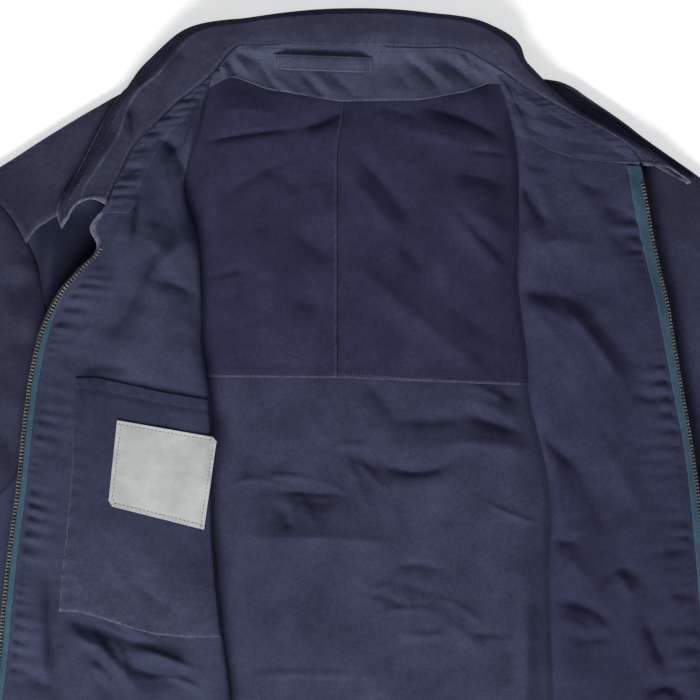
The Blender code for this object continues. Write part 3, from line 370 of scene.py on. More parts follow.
SLEEVE_CREASES = {
    "right": (
        (-251, 104, -240, 89, -230, 75, 2, -1.6), (-239, 66, -226, 72, -220, 36, 3, -4),
        (-251, 58, -236, 63, -225, 56, 7, 3.4), (-252, 42, -238, 46, -223, 39, 6, -3),
        (-252, 23, -238, 29, -226, 14, 10, 3.2), (-249, 3, -238, 4, -229, -1, 6, -2.2),
        (-252, -28, -244, -34, -236, -52, 8, 2.4), (-252, -60, -247, -70, -243, -92, 5, -2.2),
        (-300, 60, -320, -10, -318, -90, 12, 3), (-330, 70, -352, -20, -340, -130, 10, -2.5),
        (-370, 40, -390, -50, -372, -160, 14, 3), (-420, -20, -430, -110, -400, -200, 12, -2.5),
        (-460, -40, -480, -140, -440, -240, 14, 2.8), (-500, -120, -505, -200, -470, -290, 11, -2.4),
        (-540, -190, -530, -270, -490, -340, 12, 2.6), (-330, -100, -350, -120, -376, -128, 9, 2),
        (-440, -190, -462, -204, -486, -206, 9, 2),
    ),
    "left": (
        (300, 70, 318, 0, 322, -90, 12, 2.6), (332, 60, 352, -30, 348, -140, 10, -2.5),
        (372, 30, 392, -60, 380, -170, 14, 3), (424, -30, 436, -120, 408, -210, 12, -2.5),
        (464, -50, 484, -150, 448, -250, 14, 2.8), (504, -130, 508, -210, 478, -300, 11, -2.4),
        (544, -200, 534, -280, 498, -350, 12, 2.6), (336, -110, 356, -130, 382, -138, 9, 2),
        (446, -200, 468, -214, 492, -216, 9, 2),
    ),
}

# The inside pocket's length, its hem, its top and bottom edges and its outer side
POCKET_LENGTH = 172
POCKET_HEM = 9.4
POCKET_TOP = (
    (-197.3, -20.2), (-181.4, -20.2), (-158.4, -25.2), (-136.1, -30.2), (-101.5, -36),
)
POCKET_BOTTOM = (
    (-209.5, -187.9), (-194.4, -188.6), (-175, -194.4), (-157, -200.2), (-141.8, -204.5), (-119.5, -206.6),
    (-94.3, -206.6),
)
POCKET_SIDE = (
    (-197.3, -20.2), (-198, -34.6), (-199.4, -56.9), (-200.2, -86.4), (-204.5, -134.6), (-208.1, -167),
    (-209.5, -187.9),
)

# The label's corners, and its width and length
LABEL_CORNERS = (
    (-167.5, -50.4), (-95.6, -63), (-105, -129.2), (-174, -111.8),
)
LABEL_SIZE = (70, 66)

# The hanger loop: its left end, its length, how far that sinks, and its width
LOOP_START = (-55.0, 213.2)
LOOP_LENGTH = 70.5
LOOP_DROP = 2.6
LOOP_WIDTH = 11.0

# Rows of stitches: the cloths that they may lie on, how far each row stands beside a drawn line, and
# the line
NECK_LINE = (
    (-177.1, 110.2), (-168.5, 128.2), (-158.4, 147.6), (-146.2, 159.1), (-133.2, 169.2),
    (-118.1, 183.6), (-104.4, 197.3), (-93.6, 210.2), (-85, 221), (-74.9, 222.5), (-63.4, 222.5),
    (-20.2, 221), (23.8, 219.6), (56.9, 220.3), (79.2, 218.2), (93.6, 210.2), (108, 198),
    (122.4, 193.5), (136.8, 183.8), (151.2, 175.3), (172.8, 164.4), (182, 160.6),
)
YOKE_LINES = {
    "right": (
        (-104.4, -18.7), (-86.4, -19.4), (-42.5, -20.2), (-20.2, -21.6), (-13.7, -20.2),
    ),
    "left": (
        (-11.5, -18.7), (23.8, -20.2), (67.7, -24.5), (101.5, -27.4), (129.6, -29.5),
    ),
}
DARK = "dark thread"
Seam = namedtuple("Seam", "name cloth offsets points thread pitch bent", defaults=("thread", 3.0, True))
FACINGS = "back_neck_facing+front_neck_facing_right+front_neck_facing_left"
SEAMS = (
    Seam("loop", "hanger_loop", (-1.3, -8.9), ((-54.4, 212.6), (14.6, 210)), DARK, 2.4),
    Seam("loop_ends", "hanger_loop", (0,), ((-52.6, 203.6), (-52.7, 211)), DARK, 1.2, False),
    Seam("loop_end_left", "hanger_loop", (0,), ((13.2, 201.4), (13, 208.8)), DARK, 1.2, False),
    Seam("shoulder_right", "front_yoke_right", (-3,), (
        (-249.1, 132.5), (-223.2, 146.9), (-194.4, 162), (-171.4, 174.2),
    ), DARK),
    Seam("neck", "collar", (-1.7,), NECK_LINE),
    Seam("neck_facing", FACINGS, (-5.2,), NECK_LINE, DARK),
    Seam("back_facing_edge", "back_neck_facing", (1.4,), (
        (-84.2, 196.6), (-64.1, 190.1), (-50.4, 185), (-28.8, 181.4), (-3.6, 178.6), (13, 177.8),
        (34.6, 178.6), (56.9, 180.7), (73.4, 183.6), (86.4, 187.2), (101.5, 192.2),
    ), DARK),
    Seam("left_facing_edge", "front_neck_facing_left+front_left", (2.6,), (
        (121.7, 159.8), (123.1, 152.6), (129.6, 145.4), (141.1, 140.4), (156.2, 136.8), (178.6, 133.9),
        (200.2, 133.2), (211.7, 133.2),
    ), DARK),
    Seam("right_facing_edge", "front_neck_facing_right", (-1.4,), (
        (-105.1, 180), (-115.2, 174.2), (-125.3, 168.5), (-133.9, 162), (-137.5, 148.3), (-142.6, 141.8),
        (-147.6, 128.9), (-151.2, 122.4),
    ), DARK),
    Seam("yoke_edge_right", "back_yoke_right", (1.3,), YOKE_LINES["right"]),
    Seam("yoke_row_right", "back_yoke_right", (YOKE_HEM,), YOKE_LINES["right"], DARK),
    Seam("yoke_edge_left", "back_yoke_left", (1.3,), YOKE_LINES["left"]),
    Seam("yoke_row_left", "back_yoke_left", (YOKE_HEM,), YOKE_LINES["left"], DARK),
    Seam("collar_right", "collar", (5.4,), (
        (-163.4, 185.8), (-183.6, 151.2), (-197.3, 126), (-211, 97.2), (-211, 87.8),
    )),
    Seam("collar_left", "collar", (-3.6,), (
        (196, 153.5), (208.8, 146.8), (219.6, 139.6), (229, 133.4), (237.6, 127), (245, 120.5),
    )),
    Seam("pocket_hem", "inside_pocket", (POCKET_HEM,), POCKET_TOP[::-1], DARK),
    Seam("pocket_side", "inside_pocket", (1.5,), (*POCKET_SIDE[:-1], (-209.3, -184)), DARK),
    Seam("pocket_edge", "inside_pocket", (1.5,), POCKET_BOTTOM),
    Seam("label_edge", "label", (-2.7,), (
        (-167, -50.4), (-97.9, -62.6), (-95.8, -67.7), (-105.1, -128.9), (-171.4, -112.3), (-173.5, -105.8),
        (-167, -50.4),
    ), "label thread", bent=False),
    Seam("shoulder_left", "front_yoke_left+front_left+sleeve_left", (-5.2,), (
        (140.4, 190.1), (180, 169.2), (208.8, 150.5), (252, 119.5),
    )),
    Seam("yoke_edge_outer", "front_yoke_right", (1.6, 5.6), (
        (-211, 97.2), (-226.8, 90), (-229.7, 85), (-231.8, 77),
    )),
)


def smooth(t):
    """A soft step from 0 to 1."""
    t = np.clip(t, 0.0, 1.0)
    return t * t * (3 - 2 * t)


def hill(away, width, power=2):
    """1 on a line, falling softly to 0 away from it."""
    return np.exp(-((away / width) ** power))


def unit(vectors):
    """Vectors of length 1."""
    return vectors / np.maximum(np.linalg.norm(vectors, axis=-1, keepdims=True), 1e-9)


def bed(y):
    """How far the collar's leaf, lying under the back, lifts the cloth above it."""
    return LAYER * smooth((y - 90) / 80)


def noise(x, y, size, seed):
    """Soft random values from -1 to 1 over a plane, in hills about size apart."""
    cells = 64
    table = np.random.default_rng(seed).uniform(-1, 1, (cells, cells))
    x, y = np.asarray(x, float) / size, np.asarray(y, float) / size
    x0, y0 = np.floor(x).astype(int), np.floor(y).astype(int)
    u, v = smooth(x - x0), smooth(y - y0)
    low, high = (
        table[row % cells, x0 % cells] * (1 - u) + table[row % cells, (x0 + 1) % cells] * u
        for row in (y0, y0 + 1)
    )
    return low * (1 - v) + high * v


def rumple(x, y, seed):
    """The small unevenness of cloth that has been used and washed."""
    turned_x, turned_y = 0.83 * x + 0.56 * y, 0.83 * y - 0.56 * x
    soft = 0.46 * noise(turned_x, turned_y * 0.6, 34, seed) + 0.16 * noise(x * 0.7, y, 15, seed + 1)
    large = noise(turned_x, turned_y * 0.7, 27, seed + 3) + 0.4 * noise(x, y, 10, seed + 4)
    small = noise(turned_y, turned_x * 0.5, 11, seed + 5) + 0.3 * noise(x, y, 4, seed + 6)
    crests = 0.42 * (1 - np.sqrt(large**2 + 0.003)) + 0.13 * (1 - np.sqrt(small**2 + 0.006))
    return soft + crests + 0.05 * noise(turned_x, turned_y, 5, seed + 2)


def crease_height(creases, grid):
    """The height that a table of creases gives at each point of a grid."""
    spans = 8
    t = np.linspace(0, 1, spans + 1)[:, None]
    plan = grid[..., :2]
    total = np.zeros(plan.shape[:-1])
    for *ends, width, height in creases:
        start, middle, end = np.reshape(ends, (3, 2))
        line = start * (1 - t) ** 2 + 2 * middle * t * (1 - t) + end * t**2
        inside = (plan > line.min(axis=0) - 3 * width) & (plan < line.max(axis=0) + 3 * width)
        near = inside.all(axis=-1)
        points = plan[near]
        best, place = np.full(len(points), np.inf), np.zeros(len(points))
        for span, run in enumerate(np.diff(line, axis=0)):
            reach = points - line[span]
            part = np.clip(reach @ run / (run @ run), 0, 1)
            away = np.linalg.norm(reach - part[:, None] * run, axis=1)
            place = np.where(away < best, (span + part) / spans, place)
            best = np.minimum(away, best)
        fade = 0.25 + 0.75 * smooth(place * 3.2) * smooth((1 - place) * 3.2)
        total[near] += height * fade * hill(best, 1.05 * width, 1.25)
    return total


def gathers(along, across, near, reach, pitch, depth, seed):
    """Small ripples that run off a stitched line; across is the distance from it."""
    along, across = np.broadcast_arrays(along, across)
    phase = 2 * math.pi * along / pitch + 2.6 * noise(along, along * 0, 3 * pitch, seed)
    strength = np.clip(0.5 + 0.8 * noise(along, across, 2.4 * pitch, seed + 1), 0, 1)
    fade = smooth(across / near) * hill(np.maximum(across - near, 0), reach, 1.5)
    return depth * np.sin(phase) * strength * fade


def spline(controls, places):
    """Points along a soft curve inside its control points; places run from 0 to 1."""
    middles = (controls[1:] + controls[:-1]) / 2
    starts = np.concatenate([controls[:1], middles[1:-1]])
    ends = np.concatenate([middles[1:-1], controls[-1:]])
    corners = controls[1:-1]
    along = places * len(corners)
    span = np.minimum(along.astype(int), len(corners) - 1)
    t = (along - span)[:, None, None]
    return starts[span] * (1 - t) ** 2 + corners[span] * 2 * t * (1 - t) + ends[span] * t**2


def through(points, at, wanted):
    """Points on the smooth line through given ones, which stand at the values in at."""
    points, at = np.asarray(points, float), np.asarray(at, float)
    shape = (-1,) + (1,) * (points.ndim - 1)
    step = np.diff(at)
    slope = np.diff(points, axis=0) / step.reshape(shape)
    before, after = step[:-1].reshape(shape), step[1:].reshape(shape)
    inner = (slope[:-1] * after + slope[1:] * before) / (before + after)
    tangent = np.concatenate([slope[:1], inner, slope[-1:]])
    span = np.clip(np.searchsorted(at, wanted, side="right") - 1, 0, len(step) - 1)
    width = step[span].reshape(shape)
    t = ((wanted - at[span]) / step[span]).reshape(shape)
    found = points[span] * (2 * t**3 - 3 * t**2 + 1) + tangent[span] * width * (t**3 - 2 * t**2 + t)
    return found + points[span + 1] * (3 * t**2 - 2 * t**3) + tangent[span + 1] * width * (t**3 - t**2)


def distances(points):
    """How far along a line of points each one lies."""
    steps = np.linalg.norm(np.diff(points, axis=0), axis=-1)
    return np.concatenate([[0.0], np.cumsum(steps)])


def evenly(points, count):
    """Points along a drawn line, evenly spaced along its length."""
    along = distances(points)
    wanted = np.linspace(0, along[-1], count)
    return np.stack([np.interp(wanted, along, values) for values in np.transpose(points)], axis=1)


def normals(grid):
    """The unit normal at each point of a grid."""
    return unit(np.cross(np.gradient(grid, axis=0), np.gradient(grid, axis=1)))


def divided(lengths, steps):
    """Places along numbered lines, with as many between two as their distance over a step asks."""
    places = [np.array([0.0])]
    for index, (length, step) in enumerate(zip(lengths, np.broadcast_to(steps, len(lengths)))):
        count = max(1, round(length / step))
        places.append(index + np.arange(1, count + 1) / count)
    return np.concatenate(places)


def finer(coarse, row_step, column_step, closed=False, row_span=slice(None), column_span=slice(None)):
    """A smooth fine grid through a coarse one, and its row and column places.

    Its rows are spaced by what some columns measure (row_span), its columns by some rows (column_span).
    """
    down = np.linalg.norm(np.diff(coarse[:, row_span], axis=0), axis=2)
    around = np.concatenate([coarse[:, -2:], coarse, coarse[:, :3]], axis=1) if closed else coarse
    across = np.linalg.norm(np.diff(around[column_span], axis=1), axis=2).mean(axis=0)
    rows = divided(down.max(axis=1), row_step)
    columns = divided(across, column_step)
    if closed:
        columns = columns[(columns >= 2) & (columns < coarse.shape[1] + 2 - 1e-6)]
    along, reach = (np.concatenate([[0], np.cumsum(steps)]) for steps in (down.mean(axis=1), across))
    grid = through(around, along, np.interp(rows, np.arange(len(along)), along))
    wanted = np.interp(columns, np.arange(len(reach)), reach)
    return through(grid.swapaxes(0, 1), reach, wanted).swapaxes(0, 1), rows, columns


class Cloth:
    """A fine grid over numbered rows and columns, so that what is sewn on it can be taken from it."""

    def __init__(self, grid, rows, columns, shade):
        self.grid, self.rows, self.columns, self.shade = grid, rows, columns, shade
        self.away = normals(grid)

    def at(self, rows, columns, lift=0.0):
        """Points at fractional rows and columns, moved out along the normal."""
        row = np.interp(rows, self.rows, np.arange(len(self.rows)))
        column = np.interp(columns, self.columns, np.arange(len(self.columns)))
        row, column = np.broadcast_arrays(row, column)
        r = np.minimum(row.astype(int), len(self.rows) - 2)
        c = np.minimum(column.astype(int), len(self.columns) - 2)
        u, v = (row - r)[..., None], (column - c)[..., None]
        found = []
        for values in (self.grid, self.away):
            low, high = (values[k, c] * (1 - v) + values[k, c + 1] * v for k in (r, r + 1))
            found.append(low * (1 - u) + high * u)
        return found[0] + found[1] * np.asarray(lift)[..., None]


def front_rows(rows, ridges=()):
    """The middle of a front's wall, line by line: lower layer, fold, and upper layer out to the zip."""
    grid = []
    for row in rows:
        side, fold, edge, (radius, edge_z) = row[SIDE], row[FOLD], row[EDGE], row[6:]
        inward = unit(fold - side)
        length = np.linalg.norm(edge - fold)
        outward = unit(edge - fold)
        line = []
        for share in LOWER_SHARES:
            place = side + inward * (np.linalg.norm(fold - side) - radius) * share
            level = YOKE_LEVEL + (FRONT_LEVEL - YOKE_LEVEL) * smooth((place[1] + 82) / 45)
            line.append((*place, level + bed(place[1])))
        low = line[-1][2]
        for angle in FOLD_TURNS:
            turn = math.radians(angle)
            place = fold + (outward if angle >= 0 else -inward) * radius * (1 - math.cos(turn))
            line.append((*place, low + radius * (1 + math.sin(turn))))
        high = low + 2 * radius
        last = length - min(EDGE_BAND, 0.6 * length)
        stops = [radius + (last - radius) * share for share in UPPER_SHARES] + [last]
        stops += [length - min(TAPE_WIDTH, 0.35 * length), length - min(CHAIN_WIDTH, 0.16 * length), length]
        for stop in stops:
            place = fold + outward * stop
            part = (stop - radius) / (length - radius)
            free = smooth(part * 4) * smooth((1 - part) * 4) * smooth((length - 30) / 40)
            height = high + (edge_z - high) * part
            for *ends, width, rise in ridges:
                start, end = np.reshape(ends, (2, 2))
                run = end - start
                along = np.clip((place - start) @ run / (run @ run), 0, 1)
                height += free * rise * hill(np.linalg.norm(place - start - run * along), width)
            line.append((*place, height))
        grid.append(line)
    return np.array(grid)


@functools.lru_cache
def front(side):
    """One front as fine cloth, creased, over the rows and columns of its solid."""
    row_steps = [2.0] * 19 + [6.0] * 4
    column_steps = [4.0, 4.0, 5.0, 9.0, 9.0] + [2.0] * 10 + [1.5] * 3
    coarse = front_rows(FRONTS[side], RIDGES[side])
    spans = {"row_span": slice(FOLD_TOP, None), "column_span": slice(6, 20)}
    grid, rows, columns = finer(coarse, row_steps, column_steps, **spans)

    x, y = grid[..., 0], grid[..., 1]
    over = smooth((columns - FOLD_SIDE) / 2.0)[None, :]
    from_edge = np.linalg.norm((grid - grid[:, -1:])[..., :2], axis=2)
    down = distances(grid[:, -1])[:, None]
    seed = 11 if side == "right" else 31
    held = smooth(from_edge / 14.0)
    creased = crease_height(LAPEL_CREASES[side], grid) * (0.35 + 0.65 * held)
    relief = creased + rumple(x, y, seed) * (0.4 + 0.6 * held)
    zipped = smooth((rows - ZIP_TOP[side] - 0.4) / 1.5)[:, None]
    puckers = gathers(down, from_edge - 9.5, 2.5, 15.0, 11.5, 0.95, seed + 5) * zipped
    puckers += gathers(down, from_edge - 9.0, 1.5, 6.5, 6.3, 0.5, seed + 8) * zipped
    stitched = hill(from_edge - ZIP_STITCHES, 0.9) * (0.5 + 0.5 * np.sin(down * 2.1)) * zipped
    # Painted shade in the troughs of creases and puckers, plus dark dashes for the row of stitches beside
    # the zip.
    shade = np.clip(-creased / 9.0, 0, 0.24) + np.clip(-puckers / 3.6, 0, 0.22) + 0.30 * stitched
    neck = smooth((ZIP_TOP[side] - rows) / 1.0)[:, None]
    pull = 0.45 if side == "right" else 0.22
    relief += puckers + gathers(down, from_edge, 5.0, 14.0, 8.0, pull, seed + 12) * neck
    lower = smooth((FOLD_SIDE - 1 - columns) / 1.5)[None, :]
    hollow = crease_height(HOLLOW_CREASES, grid)
    streak = np.clip(crease_height(HOLLOW_CREASES[:1], grid) / 3.0, 0, 1)
    if side == "right":
        # On the right, painted shade darkens the lower layer in the hollow beside the sleeve, less along
        # the ridge of the streak.
        reach = smooth((x + 236) / 14) * smooth((108 - y) / 16) * smooth((y + 40) / 60)
        shade = shade * over + lower * reach * (0.70 - 0.34 * streak)
    else:
        # On the left, painted shade grows towards the bottom and the top is painted a little lighter; the
        # lower layer is a little lighter too.
        shade = shade + 0.22 * smooth((-70 - y) / 110) - 0.028 * smooth((y - 30) / 60)
        shade = shade * over - 0.03 * lower
    grid[..., 2] += relief * over * bpy.context.scene.garment_sizes.crease_depth
    grid[..., 2] += (0.22 * noise(x, y, 22, seed + 20) + np.maximum(hollow, -1.0)) * lower
    return Cloth(grid, rows, columns, shade)


def fold_lines(y):
    """Where the two turned-back fronts meet the back, at each height."""
    return [np.interp(y, rows[::-1, 3], rows[::-1, 2]) for rows in FRONTS.values()]


def back_relief(grid):
    """How far the back and what lies on it stand off, with their creases."""
    x, y = grid[..., 0], grid[..., 1]
    right, left = fold_lines(y)
    free = smooth((x - right - 1.0) / 22.0) * smooth((left - x - 1.0) / 22.0)
    free = free * smooth((209 - y) / 30.0) * smooth((y + 330) / 60.0)
    creased = crease_height(BACK_CREASES, grid) + rumple(x, y, 41)
    base = 4.2 + 1.6 * noise(x, y, 70, 51)
    height = free * (base + bpy.context.scene.garment_sizes.crease_depth * creased)
    return np.where(height > 0.4, height, 0.4 * np.exp(np.minimum(height, 0.4) / 0.4 - 1))


def back_shade(grid):
    """Painted shade in the back's deep crease troughs, and a painted shadow beside the left front's fold.
    """
    beside = fold_lines(grid[..., 1])[1] - grid[..., 0]
    shadow = 0.42 * smooth((7.5 - np.maximum(beside, 0)) / 4.5) * smooth((190 - grid[..., 1]) / 40)
    return np.clip(-crease_height(BACK_CREASES, grid) / 7.0, 0, 0.30) + shadow


def yoke_half(side):
    """The middle of one half of the back yoke, as its solid has it."""
    ends = {}
    for name, neck in (("right", BACK_NECK[0]), ("left", BACK_NECK[-1])):
        ends[name] = np.vstack([neck, FRONTS[name][: YOKE_ROWS + 1, SIDE]])
        ends[name][-1, 1] = YOKE_BOTTOM[name]
    middles = (ends["right"][:, 1] + ends["left"][:, 1]) / 2
    middles[-1] = YOKE_BOTTOM["middle"]
    grid = []
    for row, ((start_x, start_y), middle_y) in enumerate(zip(ends[side], middles)):
        centre = YOKE_CENTRE_X + YOKE_CENTRE_SHIFT * smooth((middle_y - 142) / 35)
        inner = [(centre + beside, lift) for beside, lift in YOKE_INNER[side]]
        line = []
        for x, lift in [(x, 0.0) for x in np.linspace(start_x, inner[0][0], 7)[:-1]] + inner:
            y = start_y + (middle_y - start_y) * (x - start_x) / (centre - start_x)
            if row == 0:
                y = np.interp(x, *np.transpose(BACK_NECK)) - NECK_SEAM
            line.append((x, y, YOKE_LEVEL + bed(y) + lift))
        grid.append(line)
    return np.array(grid)


def sleeve_ring(bow, upper, lower, top, arm):
    """One ring round a flattened sleeve, as its solid has it."""
    chord = arm[-1] - arm[0]
    parts = ((arm - arm[0]) @ chord / (chord @ chord))[:, None]
    line = upper + (lower - upper) * parts + (arm - arm[0] - parts * chord) * bow
    half = (top - BACK_LEVEL) / 2
    inset = unit(lower - upper) * half * SLEEVE_EDGE
    dip = half * SLEEVE_DIP
    first, last = line[0], line[-1]
    ring = [(*first, BACK_LEVEL + half), (*(first + inset), top - dip)]
    ring += [(*place, top) for place in line[1:-1]]
    ring += [(*(last - inset), top - dip), (*last, BACK_LEVEL + half), (*(last - inset), BACK_LEVEL + dip)]
    ring += [(*place, BACK_LEVEL) for place in line[-2:0:-1]]
    return ring + [(*(first + inset), BACK_LEVEL + dip)]


# ---------------------------------------------------------------------------------------------
# Meshes and materials


def keep(obj, body=BODY, nodes=()):
    """Finishes a piece: it rides on its body and stands for its solids, which it hides."""
    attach(obj, body)
    if nodes:
        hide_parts(*nodes)
    return obj


def linked(name, data):
    """An object of some data, in the scene."""
    obj = bpy.data.objects.new(name, data)
    bpy.context.scene.collection.objects.link(obj)
    return obj


def mesh_of(name, made):
    """The mesh of a finished bmesh."""
    mesh = bpy.data.meshes.new(name)
    made.to_mesh(mesh)
    made.free()
    return mesh


def cloth_object(name, grid, look, thickness, wear=0.0, ring=False):
    """A thin shell of cloth over a grid of points in the layout's millimetres."""
    rows, columns = grid.shape[:2]
    made = bmesh.new()
    bmesh.ops.create_grid(made, x_segments=columns - 1, y_segments=rows - 1, size=1.0)
    mesh = mesh_of(name, made)
    flat = np.empty(len(mesh.vertices) * 3, np.float32)
    mesh.vertices.foreach_get("co", flat)
    flat = flat.reshape(-1, 3)
    column = np.rint((flat[:, 0] + 1) / 2 * (columns - 1)).astype(int)
    row = np.rint((1 - flat[:, 1]) / 2 * (rows - 1)).astype(int)
    mesh.vertices.foreach_set("co", ((grid[row, column] + CENTRE) * MM).astype(np.float32).ravel())
    down = np.linalg.norm(np.diff(grid, axis=0, prepend=grid[:1]), axis=2).cumsum(axis=0)
    over = np.linalg.norm(np.diff(grid, axis=1, prepend=grid[:, :1]), axis=2).cumsum(axis=1)
    corner = np.empty(len(mesh.loops), np.int32)
    mesh.loops.foreach_get("vertex_index", corner)
    places = np.stack([over[row, column], down[row, column]], axis=1)[corner] * MM
    mesh.uv_layers.new(name="cloth").data.foreach_set("uv", places.astype(np.float32).ravel())
    # A per-point attribute: above 0 it pales the cloth for rubbed edges and painted highlights, below 0 it
    # is painted shade.
    rubbed_and_painted_light = mesh.attributes.new("wear", "FLOAT", "POINT")
    wear = np.broadcast_to(wear, (rows, columns))
    rubbed_and_painted_light.data.foreach_set("value", wear[row, column].astype(np.float32))
    if ring:
        made = bmesh.new()
        made.from_mesh(mesh)
        bmesh.ops.remove_doubles(made, verts=made.verts, dist=1e-6)
        made.to_mesh(mesh)
        made.free()
    mesh.update()
    mesh.shade_smooth()
    mesh.materials.append(look_of(look))
    obj = linked(name, mesh)
    wall = obj.modifiers.new("Cloth thickness", "SOLIDIFY")
    wall.thickness = thickness * MM
    wall.offset = 0.0
    return obj


def sew(name, grid, look, wear=0.0, thickness=None, ring=False):
    """A sheet of cloth that stands for its solid."""
    if ring:
        grid = np.concatenate([grid, grid[:, :1]], axis=1)
    thickness = thickness or bpy.context.scene.garment_sizes.shell
    obj = cloth_object(f"{name}_cloth", grid, look, thickness, wear, ring)
    keep(obj, nodes=(name,))
    return obj


class Look:
    """A material in the making, with short ways to add nodes to its shader."""

    def __init__(self, name, roughness, metallic=0.0):
        self.made = bpy.data.materials.new(name)
        self.made.use_nodes = True
        self.tree = self.made.node_tree
        self.shader = self.tree.nodes["Principled BSDF"]
        self.put(self.shader, {"Roughness": roughness, "Metallic": metallic})

    def put(self, made, inputs):
        """Gives a node's inputs plain values or links."""
        for key, value in inputs.items():
            if isinstance(value, bpy.types.NodeSocket):
                self.tree.links.new(value, made.inputs[key])
            else:
                made.inputs[key].default_value = value

    def add(self, kind, output, inputs, **settings):
        """Adds a node, and returns one of its outputs."""
        made = self.tree.nodes.new(f"ShaderNode{kind}")
        made.location = (200 * len(self.tree.nodes) - 4000, 0)
        for key, value in settings.items():
            setattr(made, key, value)
        self.put(made, inputs)
        return made.outputs[output]

    def noise(self, where, scale, detail, roughness):
        """A noise pattern over some coordinates."""
        inputs = {"Vector": where, "Scale": scale, "Detail": detail, "Roughness": roughness}
        return self.add("TexNoise", "Fac", inputs)

    def ramp(self, source, low, high, dark=0.0, light=1.0):
        """Maps a value from one range to another."""
        inputs = {"Value": source, "From Min": low, "From Max": high, "To Min": dark, "To Max": light}
        return self.add("MapRange", "Result", inputs)

    def math(self, operation, first, second):
        """A sum, product or the like of two values."""
        return self.add("Math", 0, {0: first, 1: second}, operation=operation)

    def mix(self, factor, first, second, blend="MIX"):
        """A mix of two colours."""
        inputs = {0: factor, 6: first, 7: second}
        return self.add("Mix", 2, inputs, data_type="RGBA", blend_type=blend)

    def finish(self, tone, height=None, strength=0.0, depth=0.0):
        """Gives the shader its colour and its relief, whose depth is in millimetres."""
        self.put(self.shader, {"Base Color": tone})
        if height:
            inputs = {"Height": height, "Strength": strength, "Distance": depth * MM}
            self.put(self.shader, {"Normal": self.add("Bump", "Normal", inputs)})
        return self.made


def toned(colour, share=1.0, more=0.0):
    """A colour made darker or lighter, with its alpha."""
    return tuple(min(1.0, c * share + more) for c in colour) + (1.0,)


def cloth_material(name, colour, pale, pitch=0.5, relief=0.14, mottle=1.0):
    """Woven cloth: threads over and under, washed patches, pale rubbed edges with painted highlights, and
    painted shade.
    """
    look = Look(name, 0.86)
    look.put(look.shader, {"Specular IOR Level": 0.0})
    place, surface = (look.add("TexCoord", output, {}) for output in ("Object", "UV"))
    patches = look.noise(place, 26.0, 4.0, 0.62)
    flecks = look.noise(place, 330.0, 3.0, 0.7)
    grain = look.noise(place, 1500.0, 2.0, 0.6)
    threads = []
    for direction, share in (("X", 1.0), ("Y", 0.62)):
        scale = 0.314 / (pitch * MM) * share
        inputs = {"Vector": surface, "Scale": scale, "Distortion": 0.9, "Detail": 1.0}
        threads.append(look.add("TexWave", "Fac", inputs, bands_direction=direction))
    weave = look.math("ADD", *threads)
    tone = look.mix(look.ramp(patches, 0.32, 0.68), toned(colour, 0.84), toned(colour, 1.18, 0.002))
    for pattern, low, high, dark, light in (
        (flecks, 0.30, 0.72, 1 - 0.12 * mottle, 1 + 0.12 * mottle),
        (grain, 0.3, 0.7, 1 - 0.26 * mottle, 1 + 0.26 * mottle),
        (weave, 0.2, 1.6, 0.90, 1.06),
    ):
        tone = look.mix(1.0, tone, look.ramp(pattern, low, high, dark, light), "MULTIPLY")
    # The per-point attribute: above 0 rubbed pale edges and painted highlights, below 0 painted shade.
    rubbed_and_painted_light = look.add("Attribute", "Fac", {}, attribute_name="wear")
    # The pale mix, broken up by flecks, serves rubbed edges and painted highlights alike.
    rubbed = look.math("MULTIPLY", rubbed_and_painted_light, look.ramp(flecks, 0.34, 0.62, 0.35, 1.0))
    tone = look.mix(rubbed, tone, toned(pale))
    # Below 0 the cloth is mixed towards a deep copy of its colour: painted shade.
    tone = look.mix(look.math("MULTIPLY", rubbed_and_painted_light, -1.0), tone, toned(colour, 0.22))
    height = look.math("ADD", look.math("ADD", look.math("MULTIPLY", weave, 0.35), grain), flecks)
    return look.finish(tone, height, 0.55, relief)


def thread_material(name, colour):
    """Twisted sewing thread."""
    look = Look(name, 0.62)
    twist = look.noise(look.add("TexCoord", "Object", {}), 900.0, 2.0, 0.6)
    return look.finish(look.mix(look.ramp(twist, 0.3, 0.7), toned(colour, 0.62), toned(colour, 1.3)))


def metal_material(name, colour):
    """Dull antique brass with dark patches."""
    look = Look(name, 0.34, 1.0)
    place = look.add("TexCoord", "Object", {})
    patches = look.noise(place, 420.0, 4.0, 0.65)
    scratches = look.noise(place, 2600.0, 3.0, 0.7)
    look.put(look.shader, {"Roughness": look.ramp(scratches, 0.3, 0.7, 0.28, 0.5)})
    tone = look.mix(look.ramp(patches, 0.36, 0.6), toned(colour, 0.32), toned(colour))
    return look.finish(tone, scratches, 0.3, 0.05)


@functools.lru_cache
def look_of(name):
    """The material that a piece takes, by the name of its finish."""
    colours = bpy.context.scene.garment_colours
    if name == "thread":
        return thread_material("sewing thread", colours.thread)
    if name == DARK:
        return thread_material(name, [c * 0.27 for c in colours.thread])
    if name == "label thread":
        return thread_material(name, colours.label_thread)
    if name == "brass":
        return metal_material("antique brass", colours.brass)
    if name == "tape":
        return cloth_material("zip tape", colours.tape, colours.tape_light, 0.9, 0.25, 0.9)
    if name == "label":
        return cloth_material("label weave", colours.label, (0.8, 0.8, 0.78), 0.45, 0.08, 0.25)
    return cloth_material(f"poplin {name}", getattr(colours, name), colours.rubbed_and_painted_light)


# ---------------------------------------------------------------------------------------------
# Sizes and colours


def size_property(name, text, value, low, high, unit="NONE"):
    """A length, in millimetres where it has no unit."""
    return FloatProperty(name=name, description=text, default=value, min=low, max=high, unit=unit)


def colour_property(name, text, value):
    """A colour of the finish."""
    limits = {"min": 0.0, "max": 1.0}
    return FloatVectorProperty(name=name, description=text, default=value, subtype="COLOR", **limits)


